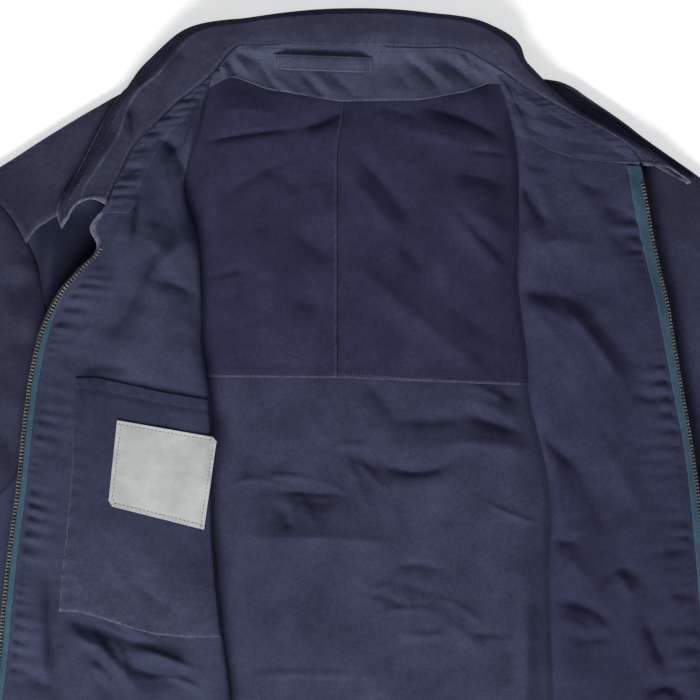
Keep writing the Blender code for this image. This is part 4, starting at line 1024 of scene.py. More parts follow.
class GarmentSizes(bpy.types.PropertyGroup):
    """Sizes that a user may change."""

    shell: size_property("Cloth", "Thickness of one layer of cloth, in mm", 0.9, 0.3, 1.4)
    collar_shell: size_property("Collar", "Thickness of the collar's two layers, in mm", 1.3, 0.5, 2.0)
    crease_depth: size_property("Crease depth", "Share of the creases' full depth", 1.9, 0.0, 3.0)
    stitch_pitch: size_property("Stitch pitch", "From one stitch to the next, in mm", 3.0, 2.0, 5.0)
    stitch_length: size_property("Stitch length", "Length of one stitch that shows, in mm", 2.2, 1.0, 4.0)
    thread_width: size_property("Thread", "Width of the sewing thread, in mm", 0.52, 0.2, 1.0)
    tooth_pitch: size_property("Tooth pitch", "From one zip tooth to the next, in mm", 2.55, 2.0, 4.0)
    camera_height: size_property("Camera height", "Height above the surface", 5.0, 1.5, 12.0, "LENGTH")
    view_width: size_property("View width", "Width that the camera sees", 0.504, 0.2, 2.0, "LENGTH")


class GarmentColours(bpy.types.PropertyGroup):
    """Colours of the finishes."""

    outside: colour_property("Outside", "Sleeves, collar and outer yokes", (0.0265, 0.0285, 0.0513))
    inside: colour_property("Inside", "Insides of the fronts", (0.0306, 0.0356, 0.0651))
    lapel_left: colour_property("Left lapel", "Inside of the left front", (0.0287, 0.0306, 0.0623))
    pocket: colour_property("Pocket", "Inside pocket", (0.0277, 0.0315, 0.0582))
    back: colour_property("Back", "Inside of the back below the yoke", (0.0299, 0.0330, 0.0615))
    yoke: colour_property("Yoke", "Inside of the back yoke", (0.0237, 0.0244, 0.0524))
    facing: colour_property("Facing", "Back facing and hanger loop", (0.0593, 0.0676, 0.1144))
    front_facing: colour_property("Front facings", "Facings at the fronts' necks", (0.0375, 0.0418, 0.0760))
    # This pale colour is used for rubbed edges and for painted highlights.
    rubbed_and_painted_light: colour_property("Worn edges", "Where the cloth is rubbed pale", (0.19, 0.20, 0.27))
    thread: colour_property("Thread", "Sewing thread", (0.056, 0.061, 0.100))
    tape: colour_property("Tape", "Zip tape", (0.036, 0.066, 0.098))
    tape_light: colour_property("Tape light", "Rubbed zip tape", (0.060, 0.100, 0.135))
    brass: colour_property("Brass", "Zip teeth and fittings", (0.42, 0.365, 0.285))
    label: colour_property("Label", "Sewn label", (0.335, 0.345, 0.34))
    label_thread: colour_property("Label thread", "Stitches round the label", (0.10, 0.11, 0.12))
    floor: colour_property("Floor", "Surface that the garment lies on", (0.86, 0.86, 0.86))


# ---------------------------------------------------------------------------------------------
# Pieces


def edge_wear(rows, columns, top=0.0, bottom=0.0, left=0.0, right=0.0, reach=1.2):
    """Pale rubbed edges along a grid; rows and columns are the distances from its start, in mm."""
    down, over = rows[:, None], columns[None, :]
    found = top * hill(down, reach, 1) + bottom * hill(down[-1] - down, reach, 1)
    found = found + left * hill(over, reach, 1) + right * hill(over[:, -1:] - over, reach, 1)
    return np.clip(found, 0, 1)


def with_hem(places, reach, steps=(0.25, 0.6, 1.0)):
    """Adds a few places close to both ends, so that a pale rubbed edge stays narrow; reach is their share.
    """
    extra = [places[0] + reach * s for s in steps] + [places[-1] - reach * s for s in steps]
    return np.unique(np.concatenate([places, extra]))


def add_back():
    """The back panel, the two yoke halves inside it, the facing under the neckline and its loop."""
    plan = [evenly(BACK_NECK, 16) - [0.0, NECK_SEAM]]
    for right, left in zip(FRONTS["right"], FRONTS["left"]):
        plan.append(evenly([right[SIDE], left[SIDE]], 16))
    plan = np.array(plan)
    coarse = np.dstack([plan, BACK_LEVEL + bed(plan[..., 1])])
    row_steps = [14.0] * 13 + [2.1] * 7 + [7.0] * 3
    column_steps = [9.0] * 3 + [2.1] * 9 + [9.0] * 3
    grid, _, _ = finer(coarse[: WAIST_ROW + 2], row_steps, column_steps)
    # Painted shade for the back panel: crease troughs and a shadow beside the left fold.
    shade = back_shade(grid)
    grid[..., 2] += back_relief(grid)
    sew("back_panel", grid, "back", -shade)
    sew("waistband_back", finer(coarse[WAIST_ROW + 1 :], 5.0, 6.0)[0], "inside")

    for side in ("right", "left"):
        grid, _, _ = finer(yoke_half(side), [4.0] * 3 + [2.4] * 11, [9.0, 9.0] + [2.4] * 6)
        shade = back_shade(grid)
        grid[..., 2] += back_relief(grid)
        over, down = distances(grid[len(grid) // 2]), distances(grid[:, -20])
        seam = (down[-1] - down)[:, None]
        sunk = 0.30 * hill(seam - YOKE_HEM, 1.5**0.5)
        grid[..., 2] += gathers(over, seam, 1.5, 7.0, 8.5, 0.42, 61) - sunk
        lap = 0.28 if side == "right" else 0.0
        # Pale rubbed lower edge and lap, less the painted shade; the dashed dark line is the row of
        # stitches.
        wear = edge_wear(down, over, bottom=0.22, right=lap, reach=0.6) - shade
        wear = wear - 0.22 * hill(seam - YOKE_HEM, 0.9) * (0.6 + 0.4 * np.sin(2.1 * over))
        sew(f"back_yoke_{side}", grid, "yoke", wear)

    upper = evenly(FACING_NECK, 150) + [0.0, 1.4]
    lower = evenly(FACING_EDGE, 150)
    parts = with_hem(np.linspace(0, 1, 17), 0.05)
    plan = upper[None] * (1 - parts[:, None, None]) + lower[None] * parts[:, None, None]
    rise = smooth((-82 - plan[..., 0]) / 15) + smooth((plan[..., 0] - 91) / 13)
    level = FACING_LEVEL + LAYER + lap_pad(plan[..., 0]) - 0.4 + 5.6 * rise
    grid = np.dstack([plan, level + 1.6 * smooth(1 - parts * 2.5)[:, None]])
    grid[..., 2] += back_relief(grid)
    across = (1 - parts[:, None]) * FACING_DEPTH
    along = distances(lower) + 0.7 * across
    creased = crease_height(FACING_CREASES, grid)
    grid[..., 2] += 0.55 + gathers(along, across, 1.0, 26.0, 17.0, 0.28, 71) + 1.8 * creased
    wear = edge_wear(parts * FACING_DEPTH, np.linspace(0, 200, 150), bottom=0.28, reach=0.8)
    # Painted shade in the troughs of the facing's creases and painted highlights on their ridges.
    wear = wear - np.clip(-creased / 4.0, 0, 0.25) + np.clip(creased / 16.0, 0, 0.08)
    wear = wear - 0.30 * hill(across - 1.9, 0.7)
    sew("back_neck_facing", grid, "facing", wear)
    add_loop()


def lap_pad(x):
    """How far the yoke halves' lap lifts what lies over it."""
    return LAYER * smooth((52 - np.abs(x + 14)) / 22)


def add_loop():
    """The hanger loop: a narrow doubled band, sewn down at both ends and bowed between them."""
    down = np.linspace(0, 1, 110)[:, None]
    over = np.array([[0.0, 0.6, 1.1, 1.6, 2.1, 3.0, 5.5, 8.0, 8.9, 9.4, 9.9, 10.4, 11.0]])
    x, y = LOOP_START[0] + LOOP_LENGTH * down, LOOP_START[1] - LOOP_DROP * down
    rise = smooth(down * 7) * smooth((1 - down) * 7)
    level = FACING_LEVEL + LAYER + lap_pad(x) + 1.5 + back_relief(np.dstack([x, y - 6])) + 2.6 * rise
    across = over / LOOP_WIDTH
    grid = np.dstack([
        x + 0.6 * across,
        y - over - 1.1 * (rise - 1) * across,
        level + 0.5 * np.sin(np.pi * across) - 1.2 * across * (1 - rise),
    ])
    along = distances(grid[:, 6])[:, None]
    wear = edge_wear(along[:, 0], over[0], left=0.25, right=0.3, top=0.25, bottom=0.25, reach=0.7)
    stitched = hill(over - 1.6, 0.45) + hill(over - 9.4, 0.45)
    for place in (2.0, 5.0, along[-1] - 5.0, along[-1] - 2.0):
        stitched = stitched + hill(along - place, 0.5)
    wear = wear - 0.42 * np.clip(stitched, 0, 1) * (0.65 + 0.35 * np.sin(along * 2.6 + over))
    sew("hanger_loop", grid, "facing", wear, thickness=1.2)


def add_front(side):
    """One front and its waistband."""
    cloth = front(side)
    last = np.searchsorted(cloth.rows, WAIST_ROW)
    body = cloth.grid[: last + 1]
    over = distances(body[len(body) // 2])
    from_edge = over[-1] - over
    neck = smooth((ZIP_TOP[side] + 0.6 - cloth.rows[: last + 1]) / 0.8)[:, None]
    wear = 0.8 * neck * hill(from_edge, 4.0, 5) + 0.4 * (1 - neck) * hill(from_edge, 0.8)
    wear = np.clip(wear + 0.10 * hill(cloth.columns - FOLD_SIDE, 0.35**0.5), 0, 1)
    look = "inside" if side == "right" else "lapel_left"
    # Rubbed pale edges and fold, less the front's painted shade and stitch dashes.
    sew(f"front_{side}", body, look, wear - cloth.shade[: last + 1])
    band = cloth.grid[last:, : np.searchsorted(cloth.columns, CHAIN_SIDE) + 1].copy()
    band[0, :, 1] -= GAP
    sew(f"waistband_{side}", band, "inside")


def add_outer_yoke(side):
    """The yoke sewn on a front's outer side, which lies against the back."""
    columns = with_hem(np.linspace(0, LOWER_END, 46), 0.1)
    share = with_hem(np.linspace(0, 1, 80), 0.008)
    rows = share[:, None] * (9 + np.interp(columns, YOKE_PLACES, YOKE_REACH[side]))
    grid = front(side).at(rows, columns, SEWN if side == "right" else -SEWN)
    out = np.linalg.norm(grid - grid[:, :1], axis=2)
    grid[..., 2] += gathers(distances(grid[:, 0])[:, None], out, 3.0, 9.0, 8.5, 0.5, 131)
    x, y = grid[..., 0], grid[..., 1]
    grid[..., 2] += 0.8 * rumple(x, y, 133)
    # Pale rubbed hem; rim is a painted highlight along the outer edge where the seam's ridge catches light,
    # and dark is a painted shadow cast by the seam's edge 6 mm inside it.
    hem, dark, rim = (0.6, 0.16, 0.03) if side == "right" else (0.0, 0.55, 0.17)
    wear = edge_wear(share * 190, columns * 20, bottom=hem, left=0.1) + rim * smooth((4.6 - out) / 1.4)
    wear = wear - dark * (1 + 0.4 * noise(x, y, 5, 135)) * hill(out - 6.0, 1.2)
    sew(f"front_yoke_{side}", grid, "outside", wear)


def add_neck_facing(side):
    """The facing along a front's neck edge: a strip on the right, a shaped piece on the left."""
    lift = np.array(-SEWN if side == "right" else SEWN)
    if side == "right":
        share = with_hem(np.linspace(0, 1, 40), 0.02)
        last = 7.35
        rows = np.linspace(0, last, 130)[:, None]
        starts = np.interp(rows, (0, 1, 2, 2.6, 3.2, 8), (8.6, 8.6, 10.5, 13.2, 14.9, 15.0))
        columns = EDGE_SIDE - (EDGE_SIDE - starts) * (1 - share)
        lift = lift * (0.2 + 0.8 * smooth((last - rows + 0 * columns) / 0.4))
    else:
        share = with_hem(np.linspace(0, 1, 70), 0.02)
        first = 8.4
        columns = first + (EDGE_SIDE - first) * share
        places = (first, 9.5, 10.5, 12, 14, EDGE_SIDE)
        ends = np.interp(columns, places, (5.0, 5.3, 6.35, 6.85, 6.95, 7.0))
        rows = with_hem(np.linspace(0, 1, 80), 0.012)[:, None] * ends
    grid = front(side).at(rows, columns, lift)
    grid[..., 2] += crease_height(NECK_CREASES[side], grid)
    if side == "left":
        top = np.linalg.norm(grid - grid[:, -1:], axis=2)
        along = distances(grid[:, -1])[:, None]
        grid[..., 2] += gathers(along, top, 1.5, 8.0, 6.5, 0.55, 141)
        grid[..., :2] += np.array([1.3, 2.2]) * (share**6)[:, None] * smooth((150 - along) / 40)[..., None]
    width, hem, end = (22, 0.0, 0.10) if side == "right" else (90, 0.6, 0.0)
    over = share * width
    wear = edge_wear(np.linspace(0, 150, len(grid)), over, bottom=hem, left=end)
    wear = wear - 0.45 * hill(over[-1] - over, 1.2, 1)
    sew(f"front_neck_facing_{side}", grid, "front_facing", wear)


def add_fronts():
    """Both fronts, their waistbands, their outer yokes and their neck facings."""
    for side in ("right", "left"):
        add_front(side)
        add_outer_yoke(side)
        add_neck_facing(side)


def collar_controls():
    """The collar's control points, line by line."""
    right, left = (front_rows(FRONTS[side][:NECK_ROWS])[:, EDGE_SIDE] for side in ("right", "left"))
    edges = np.concatenate([right[::-1], np.column_stack([BACK_NECK, NECK_HEIGHTS]), left])
    lines = []
    for index, (edge, row) in enumerate(zip(edges, COLLAR)):
        roll, bulge, tip = row.reshape(3, 3)
        inside = -1.2 if edge[0] < 110 else 1.6
        start = edge + unit((roll - edge) * [1, 1, 0]) * inside + [0, 0, 2.2]
        rise = start * 0.75 + roll * 0.25 + [0, 0, 1.6]
        turn = bulge + (tip - bulge) * 0.08
        leaf = bulge + (tip - bulge) * 0.25
        turn[2] = leaf[2] = tip[2]
        if index <= COLLAR_END:
            bulge = roll + (tip - roll) * 0.30 + [-1.2, 0.6, 1.0]
            turn = roll + (tip - roll) * 0.60 + [0, 0, 0.8]
            leaf = roll + (tip - roll) * 0.85 + [0, 0, 0.3]
        if index == 0:
            rise = start * 0.55 + roll * 0.45 + [-0.5, 5.5, 2.5]
        crest = roll + (rise - roll) * 0.10
        brow = roll + (bulge - roll) * 0.07
        lines.append([start, rise, crest, brow, bulge, turn, leaf, tip])
    return np.array(lines)


def add_collar(sizes):
    """The collar, which stands up from the neck seam, rolls over and falls outward."""
    lines = collar_controls()
    along = distances(lines[:, 2])
    wanted = with_hem(np.linspace(0, along[-1], 300), 2.0)
    lines = through(lines, along, wanted)
    places = with_hem(np.linspace(0, 1, 46), 0.02)
    grid = spline(lines.swapaxes(0, 1), places).swapaxes(0, 1)
    wanted = wanted[:, None]
    x, y = grid[..., 0], grid[..., 1]
    steps = np.linalg.norm(np.diff(grid, axis=1), axis=2)
    fall = np.concatenate([np.zeros((len(grid), 1)), np.cumsum(steps, axis=1)], axis=1)
    from_tip = fall[:, -1:] - fall
    highest = np.argmin(np.linalg.norm(grid - lines[:, 2][:, None], axis=2), axis=1)
    from_crest = np.abs(fall - np.take_along_axis(fall, highest[:, None], axis=1))
    creased = crease_height(COLLAR_CREASES, grid)
    mottled = 0.05 * noise(x, y, 21, 88) + 0.03 * noise(x, y, 8, 89)

    lift = 0.5 * noise(x, y, 26, 81) + 0.22 * noise(x, y, 9, 82)
    lift = lift + gathers(wanted, places * 60, 3.0, 12.0, 9.0, 0.22, 83)
    lift = lift * smooth(places * 5) * smooth((0.36 - places) * 7) + creased * smooth(places * 6)
    lift = lift - 0.55 * hill(from_tip - COLLAR_ROW, 1.1) + 0.25 * smooth((COLLAR_ROW - from_tip) / 2.0)
    lift = lift + gathers(wanted, from_tip, 1.0, 6.0, 6.5, 0.22, 87)
    grid = grid - normals(grid) * lift[..., None]
    grid[..., 2] = np.maximum(grid[..., 2], 0.7)

    from_end = np.minimum(wanted, wanted[-1] - wanted)
    wear = 0.55 * hill(from_tip, 1.1) + 0.16 * hill(from_tip - 4.2, 0.7)
    wear = wear + 0.30 * hill(from_crest, 0.8) * smooth((170 - wanted) / 60)
    wear = wear + 0.06 * smooth((from_crest - 1.0) / 3.0) * smooth((wanted - 300) / 60)
    wear = np.clip(wear, 0, 1) + 0.22 * hill(fall - 2.3, 0.6) - 0.85 * hill(fall, 1.3)
    wear = wear + np.where(wanted < 200, 0.5, 0.3) * hill(from_end, 2.6, 6) + 0.25 * hill(from_end, 0.7)
    wear = wear - 0.35 * hill(from_tip - COLLAR_ROW, 1.2) * smooth(from_end / 3 - 1)
    wear = wear - 0.4 * hill(from_end - 3.9, 0.7)
    # At the back, painted light low on the stand and painted shade about the roll.
    at_back = smooth((wanted - 130) / 50) * smooth((400 - wanted) / 50)
    wear += at_back * (0.06 * hill(fall - 7, 4) - 0.13 * hill(from_crest - 5, 5))
    # Random mottling, and painted shade in the creases' troughs.
    wear += mottled - 0.5 * np.clip(-creased / 3, 0, 1)
    sew("collar", grid, "outside", wear, thickness=sizes.collar_shell)


def dropped(grounds, x, y):
    """Where a point falls on the highest of some cloths, and the cloth's normal there."""
    origin = Vector(((x + CENTRE[0]) * MM, (y + CENTRE[1]) * MM, 0.1))
    hits = [ground.ray_cast(origin, Vector((0, 0, -1)))[:2] for ground in grounds]
    return max((hit for hit in hits if hit[0]), key=lambda hit: hit[0].z, default=None)


def surfaces(names):
    """The cloths of some pieces, as they are when finished."""
    graph = bpy.context.evaluated_depsgraph_get()
    return [BVHTree.FromObject(bpy.data.objects[f"{name}_cloth"], graph) for name in names]


def heights(name, plan):
    """The height of a piece's cloth below each place of a plan, in millimetres."""
    ground = surfaces([name])
    found = np.full(plan.shape[:-1], np.nan)
    for index in np.ndindex(found.shape):
        hit = dropped(ground, *plan[index])
        if hit:
            found[index] = hit[0].z / MM
    for line in found:
        known = np.isfinite(line)
        line[~known] = np.interp(np.flatnonzero(~known), np.flatnonzero(known), line[known])
    return found


def add_pocket():
    """The inside patch pocket on the wearer's right front, and the bare label sewn to it."""
    top, bottom, side = evenly(POCKET_TOP, 78), evenly(POCKET_BOTTOM, 78), np.array(POCKET_SIDE)
    part = with_hem(np.linspace(0, 1, 96), 0.006)[:, None]
    down = part * POCKET_LENGTH
    left_x = np.interp(part, (side[0, 1] - side[:, 1]) / (side[0, 1] - side[-1, 1]), side[:, 0])
    lines = top * (1 - part[..., None]) + bottom * part[..., None]
    x, y = lines[..., 0], lines[..., 1]
    share = (x - x[:, :1]) / (x[:, -1:] - x[:, :1])
    x = left_x + (fold_lines(y[:, -1:])[0] - 0.9 - left_x) * share
    plan = np.dstack([x, y])
    over = distances(top)
    mouth = np.exp(-down / 9.0) * smooth(over / 40) * smooth((104 - over) / 14)
    height = heights("front_right", plan) + SEWN - 0.75 + 0.15 * mouth
    puckers = gathers(y, x - left_x, 1.5, 7.0, 12.5, 0.6, 91)
    height += puckers + gathers(x, down - 1, 2.5, 8.0, 9.5, 0.75, 92)
    hem_line = hill(down - POCKET_HEM, 2**0.5)
    height += 0.35 * smooth((POCKET_HEM - down) / 2.0) - 0.35 * hem_line
    height += crease_height(POCKET_CREASES, plan)
    wear = edge_wear(down[:, 0], over, top=0.2, bottom=0.45, left=0.3, reach=0.8) - 0.42 * hem_line
    # Darker near the top and slightly lighter towards the bottom.
    wear = wear + 0.05 * smooth(part * 2 - 1) - 0.18 * (1 - smooth(part * 1.7))
    sew("inside_pocket", np.dstack([plan, height]), "pocket", wear)
    add_label()


def add_label():
    """The woven label: four sides with two clipped corners, sewn all round."""
    top_left, top_right, low_right, low_left = np.array(LABEL_CORNERS)
    u = with_hem(np.linspace(0, 1, 46), 0.012)
    v = with_hem(np.linspace(0, 1, 40), 0.014)[:, None]
    across, down = u[None, :, None], v[..., None]
    plan = (top_left * (1 - across) + top_right * across) * (1 - down)
    plan = plan + (low_left * (1 - across) + low_right * across) * down
    plan[..., 1] -= 3.2 * np.clip((u - 0.955) / 0.045, 0, 1) * np.clip((0.06 - v) / 0.06, 0, 1)
    plan[..., 1] += 4.0 * np.clip((0.045 - u) / 0.045, 0, 1) * np.clip((v - 0.94) / 0.06, 0, 1)
    height = heights("inside_pocket", plan)
    height = 0.6 * height + 0.4 * height.mean() + 1.5 + 0.16 * noise(plan[..., 0], plan[..., 1], 9, 95)
    width, length = LABEL_SIZE
    border = np.minimum(np.minimum(u, 1 - u) * width, np.minimum(v, 1 - v) * length)
    height -= 0.22 * hill(border - 3.0, 1.2**0.5)
    grid = np.dstack([plan, height])
    sew("label", grid, "label", thickness=0.6)


def add_sleeves(sizes):
    """Both sleeves, flattened, and their cuffs."""
    for side, rings in SLEEVES.items():
        arm = FRONTS[side][TIP_ROW : ARMPIT_ROW + 1, SIDE]
        rings = np.array(rings)
        coarse = np.array([sleeve_ring(row[0], row[1:3], row[3:5], row[5], arm) for row in rings])
        coarse[0, :, 0] += SEAM_SHIFT[side]
        grid, rows, _ = finer(coarse, [3.5, 4.5, 6.0, 6.0, 6.0, 6.0, 6.0], 4.5, closed=True)
        middle = np.interp(rows, np.arange(len(rings)), rings[:, 5])[:, None]
        top = smooth((grid[..., 2] - BACK_LEVEL) / (middle - BACK_LEVEL) * 1.6 - 0.6)
        x, y = grid[..., 0], grid[..., 1]
        seed = 101 if side == "right" else 111
        seam = distances(grid[:, 8])[:, None]
        far = seam[-1] - seam
        creased = crease_height(SLEEVE_CREASES[side], grid)
        relief = creased + 1.2 * rumple(x, y, seed) + 0.9 * (1 + noise(x, y, 60, seed + 4))
        relief += gathers(y, seam, 4.0, 16.0, 14.0, 0.35, seed + 7)
        relief += gathers(0.6 * x + 0.8 * y, far, 5.0, 26.0, 9.5, 0.9, seed + 9)
        grid[..., 2] += relief * top * (0.25 + 0.75 * smooth(seam / 10) * smooth(far / 14))
        grid[..., 2] = np.maximum(grid[..., 2], BACK_LEVEL)
        # Painted shade: a band darkening from the armhole seam, and the troughs of creases on the sleeve's
        # top.
        dark = 0.55 * hill(seam, 7.0, 1) + np.clip(-creased / 6.0, 0, 0.45) * top
        wear = -np.concatenate([dark, dark[:, :1]], axis=1)
        sew(f"sleeve_{side}", grid, "outside", wear, ring=True)

        upper, lower = rings[-1, 1:3], rings[-1, 3:5]
        run = unit(upper - rings[-2, 1:3] + lower - rings[-2, 3:5])
        lines = []
        for reach in (GAP, CUFF_DEPTH / 3, CUFF_DEPTH * 2 / 3, CUFF_DEPTH):
            top = rings[-1, 5] - (rings[-1, 5] - CUFF_TOP) * reach / CUFF_DEPTH
            lines.append(sleeve_ring(0.0, upper + run * reach, lower + run * reach, top, arm))
        grid, _, _ = finer(np.array(lines), 3.5, 4.5, closed=True)
        top = smooth((grid[..., 2] - BACK_LEVEL) / (CUFF_TOP - BACK_LEVEL) * 1.6 - 0.6)
        grid[..., 2] += top * (0.35 + 0.3 * noise(grid[..., 0], grid[..., 1], 24, seed + 12))
        grid[..., 2] = np.maximum(grid[..., 2], BACK_LEVEL)
        over = np.arange(grid.shape[1] + 1)
        wear = edge_wear(distances(grid[:, 8]), over, top=0.35, bottom=0.7, reach=1.6)
        sew(f"cuff_{side}", grid, "outside", wear, thickness=sizes.collar_shell, ring=True)


def copies(name, template, matrices, look):
    """One joined mesh with a copy of a small shape at each matrix."""
    made = bmesh.new()
    for matrix in matrices:
        copy = template.copy()
        copy.transform(matrix)
        made.from_mesh(copy)
        bpy.data.meshes.remove(copy)
    mesh = mesh_of(name, made)
    mesh.materials.append(look_of(look))
    return linked(name, mesh)


def placed(place, along, up):
    """A matrix that stands at a place with X along a line and Z up off the cloth."""
    along = Vector(along).normalized()
    side = Vector(up).cross(along).normalized()
    matrix = Matrix((along, side, along.cross(side))).transposed().to_4x4()
    matrix.translation = place
    return matrix


def tooth_shape():
    """One zip tooth: a narrow leg across the tape with a wider head."""
    made = bmesh.new()
    for size, place in (((0.95, 1.7, 1.9), (0, -0.05, 0)), ((1.45, 1.3, 2.1), (0, 1.2, 0))):
        verts = bmesh.ops.create_cube(made, size=1.0)["verts"]
        bmesh.ops.scale(made, vec=size, verts=verts)
        bmesh.ops.translate(made, vec=place, verts=verts)
    rim = {"segments": 1, "profile": 0.5, "affect": "EDGES", "material": -1}
    bmesh.ops.bevel(made, geom=made.edges[:], offset=0.22, **rim)
    bmesh.ops.scale(made, vec=(MM, MM, MM), verts=made.verts)
    return mesh_of("tooth shape", made)


def add_zip(sizes):
    """Tapes, teeth and the metal ends of the zip."""
    for side, outward in (("right", -1.0), ("left", 1.0)):
        cloth, top, end, right = front(side), ZIP_TOP[side], ZIP_END[side], side == "right"
        rows = np.linspace(top if right else top - 0.85, end, 300)
        share = np.array([0.0, 0.1, 0.25, 0.4, 0.55, 0.7, 0.82, 0.92, 1.0])
        if right:
            starts = np.interp(rows, (9.0, 10.6, 12.4), (17.3, 17.1, 16.5))[:, None]
            ends = np.interp(rows, (9, 10, 12, 14), (17.55, 17.55, 17.7, 17.95))[:, None]
        else:
            starts = np.interp(rows, (9, 12, 15, 18), (16.1, 16.3, 16.6, 16.5))[:, None]
            ends = 17.95
        grid = cloth.at(rows[:, None], starts + (ends - starts) * share, outward * TAPE_LIFT)
        wear = edge_wear(np.linspace(0, 600, 300), share * TAPE_WIDTH, left=0.35, reach=1.0)
        name = f"zip_tape_{side}"
        sew(name, grid, "tape", wear, thickness=TAPE)

        rows = np.linspace(top + (0.05 if right else 0.0), end - 0.02, 2000)
        high = outward * (TAPE_LIFT + TAPE / 2 + 1.05)
        inset = np.interp(rows, (9, 10, 11.5, 13), (0.25, 0.35, 0.25, 0.0)) if right else 0.0
        column = TEETH_SIDE - inset
        line = cloth.at(rows, column, high)
        out = cloth.at(rows, column + 0.4, high) - line
        up = unit(line - cloth.at(rows, column))
        along = distances(line)
        matrices = []
        for k in np.searchsorted(along, np.arange(0.6, along[-1], sizes.tooth_pitch)):
            across = unit(np.cross(up[k], line[min(k + 3, len(line) - 1)] - line[max(k - 3, 0)]))
            across *= 1 if across @ out[k] >= 0 else -1
            matrix = Matrix((np.cross(across, up[k]), across, up[k])).transposed().to_4x4()
            matrix.translation = (line[k] + CENTRE) * MM
            matrices.append(matrix)
        teeth = copies(f"zip_teeth_{side}", tooth_shape(), matrices, "brass")
        keep(teeth, nodes=(f"zip_chain_{side}",))
        add_bead(side, np.linspace(top, end, 240), outward * (TAPE_LIFT + 0.45))
    for name in ("zip_slider", "zip_pull", "zip_box", "zip_pin"):
        add_fitting(name)


def add_bead(side, rows, lift):
    """The thick edge of the tape that the teeth are clamped on."""
    cloth = front(side)
    line = cloth.at(rows, BEAD_SIDE, lift)
    up, out = unit(line - cloth.at(rows, BEAD_SIDE)), unit(cloth.at(rows, 17.9, lift) - line)
    turns = np.linspace(0, 2 * math.pi, 7)
    grid = np.stack([line + BEAD * (out * math.cos(t) + up * math.sin(t)) for t in turns], axis=1)
    bead = cloth_object(f"zip_bead_{side}", grid, "tape", 0.2, ring=True)
    bead.modifiers.clear()
    keep(bead)


def add_fitting(name):
    """A metal end of the zip: its solid with rounded edges."""
    made = bmesh.new()
    made.from_mesh(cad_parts[name].data)
    bmesh.ops.remove_doubles(made, verts=made.verts, dist=1e-6)
    bmesh.ops.dissolve_limit(made, angle_limit=math.radians(2), verts=made.verts, edges=made.edges)
    sharp = [e for e in made.edges if len(e.link_faces) == 2 and e.calc_face_angle(0) > math.radians(35)]
    rim = {"segments": 2, "profile": 0.5, "affect": "EDGES", "material": -1, "clamp_overlap": True}
    bmesh.ops.bevel(made, geom=sharp, offset=0.22 * MM, **rim)
    mesh = mesh_of(f"{name}_metal", made)
    mesh.materials.append(look_of("brass"))
    body = "pull" if name == "zip_pull" else BODY
    keep(linked(f"{name}_metal", mesh), body=body, nodes=(name,))


def stitch_shape(sizes):
    """One stitch: a short rounded length of thread."""
    made = bmesh.new()
    bmesh.ops.create_icosphere(made, subdivisions=1, radius=0.5)
    size = (sizes.stitch_length * MM, sizes.thread_width * MM, 0.5 * sizes.thread_width * MM)
    bmesh.ops.scale(made, vec=size, verts=made.verts)
    mesh = mesh_of("stitch shape", made)
    mesh.shade_smooth()
    return mesh


def stitched_line(seam, offset):
    """A seam's drawn line, bent softly and moved sideways."""
    if seam.bent:
        along = distances(seam.points)
        line = through(seam.points, along, np.linspace(0, along[-1], max(3, int(along[-1] / 2.0))))
    else:
        line = evenly(seam.points, 400)
    run = unit(np.gradient(line, axis=0))
    return line + np.stack([-run[:, 1], run[:, 0]], axis=1) * offset


def add_stitches(sizes):
    """Rows of stitches, each laid on the cloth that shows from above."""
    template = stitch_shape(sizes)
    for seam in SEAMS:
        grounds = surfaces(seam.cloth.split("+"))
        matrices = []
        for offset in seam.offsets:
            line = stitched_line(seam, offset)
            along = distances(line)
            for stop in np.arange(seam.pitch / 2, along[-1], seam.pitch):
                wanted = stop + np.array([-0.4, 0.0, 0.4]) * seam.pitch
                ends = np.stack([np.interp(wanted, along, values) for values in line.T], axis=1)
                hits = [dropped(grounds, x, y) for x, y in ends]
                if None in hits or abs(hits[2][0].z - hits[0][0].z) > 2.5 * MM:
                    continue
                (start, _), (place, up), (end, _) = hits
                up = up if up.z > 0 else -up
                matrix = placed(place + up * 0.05 * MM, end - start, up)
                matrices.append(matrix @ Matrix.Scale(seam.pitch / sizes.stitch_pitch, 4, (1, 0, 0)))
        row = copies(f"stitches_{seam.name}", template, matrices, seam.thread)
        row.data.shade_smooth()
        keep(row)


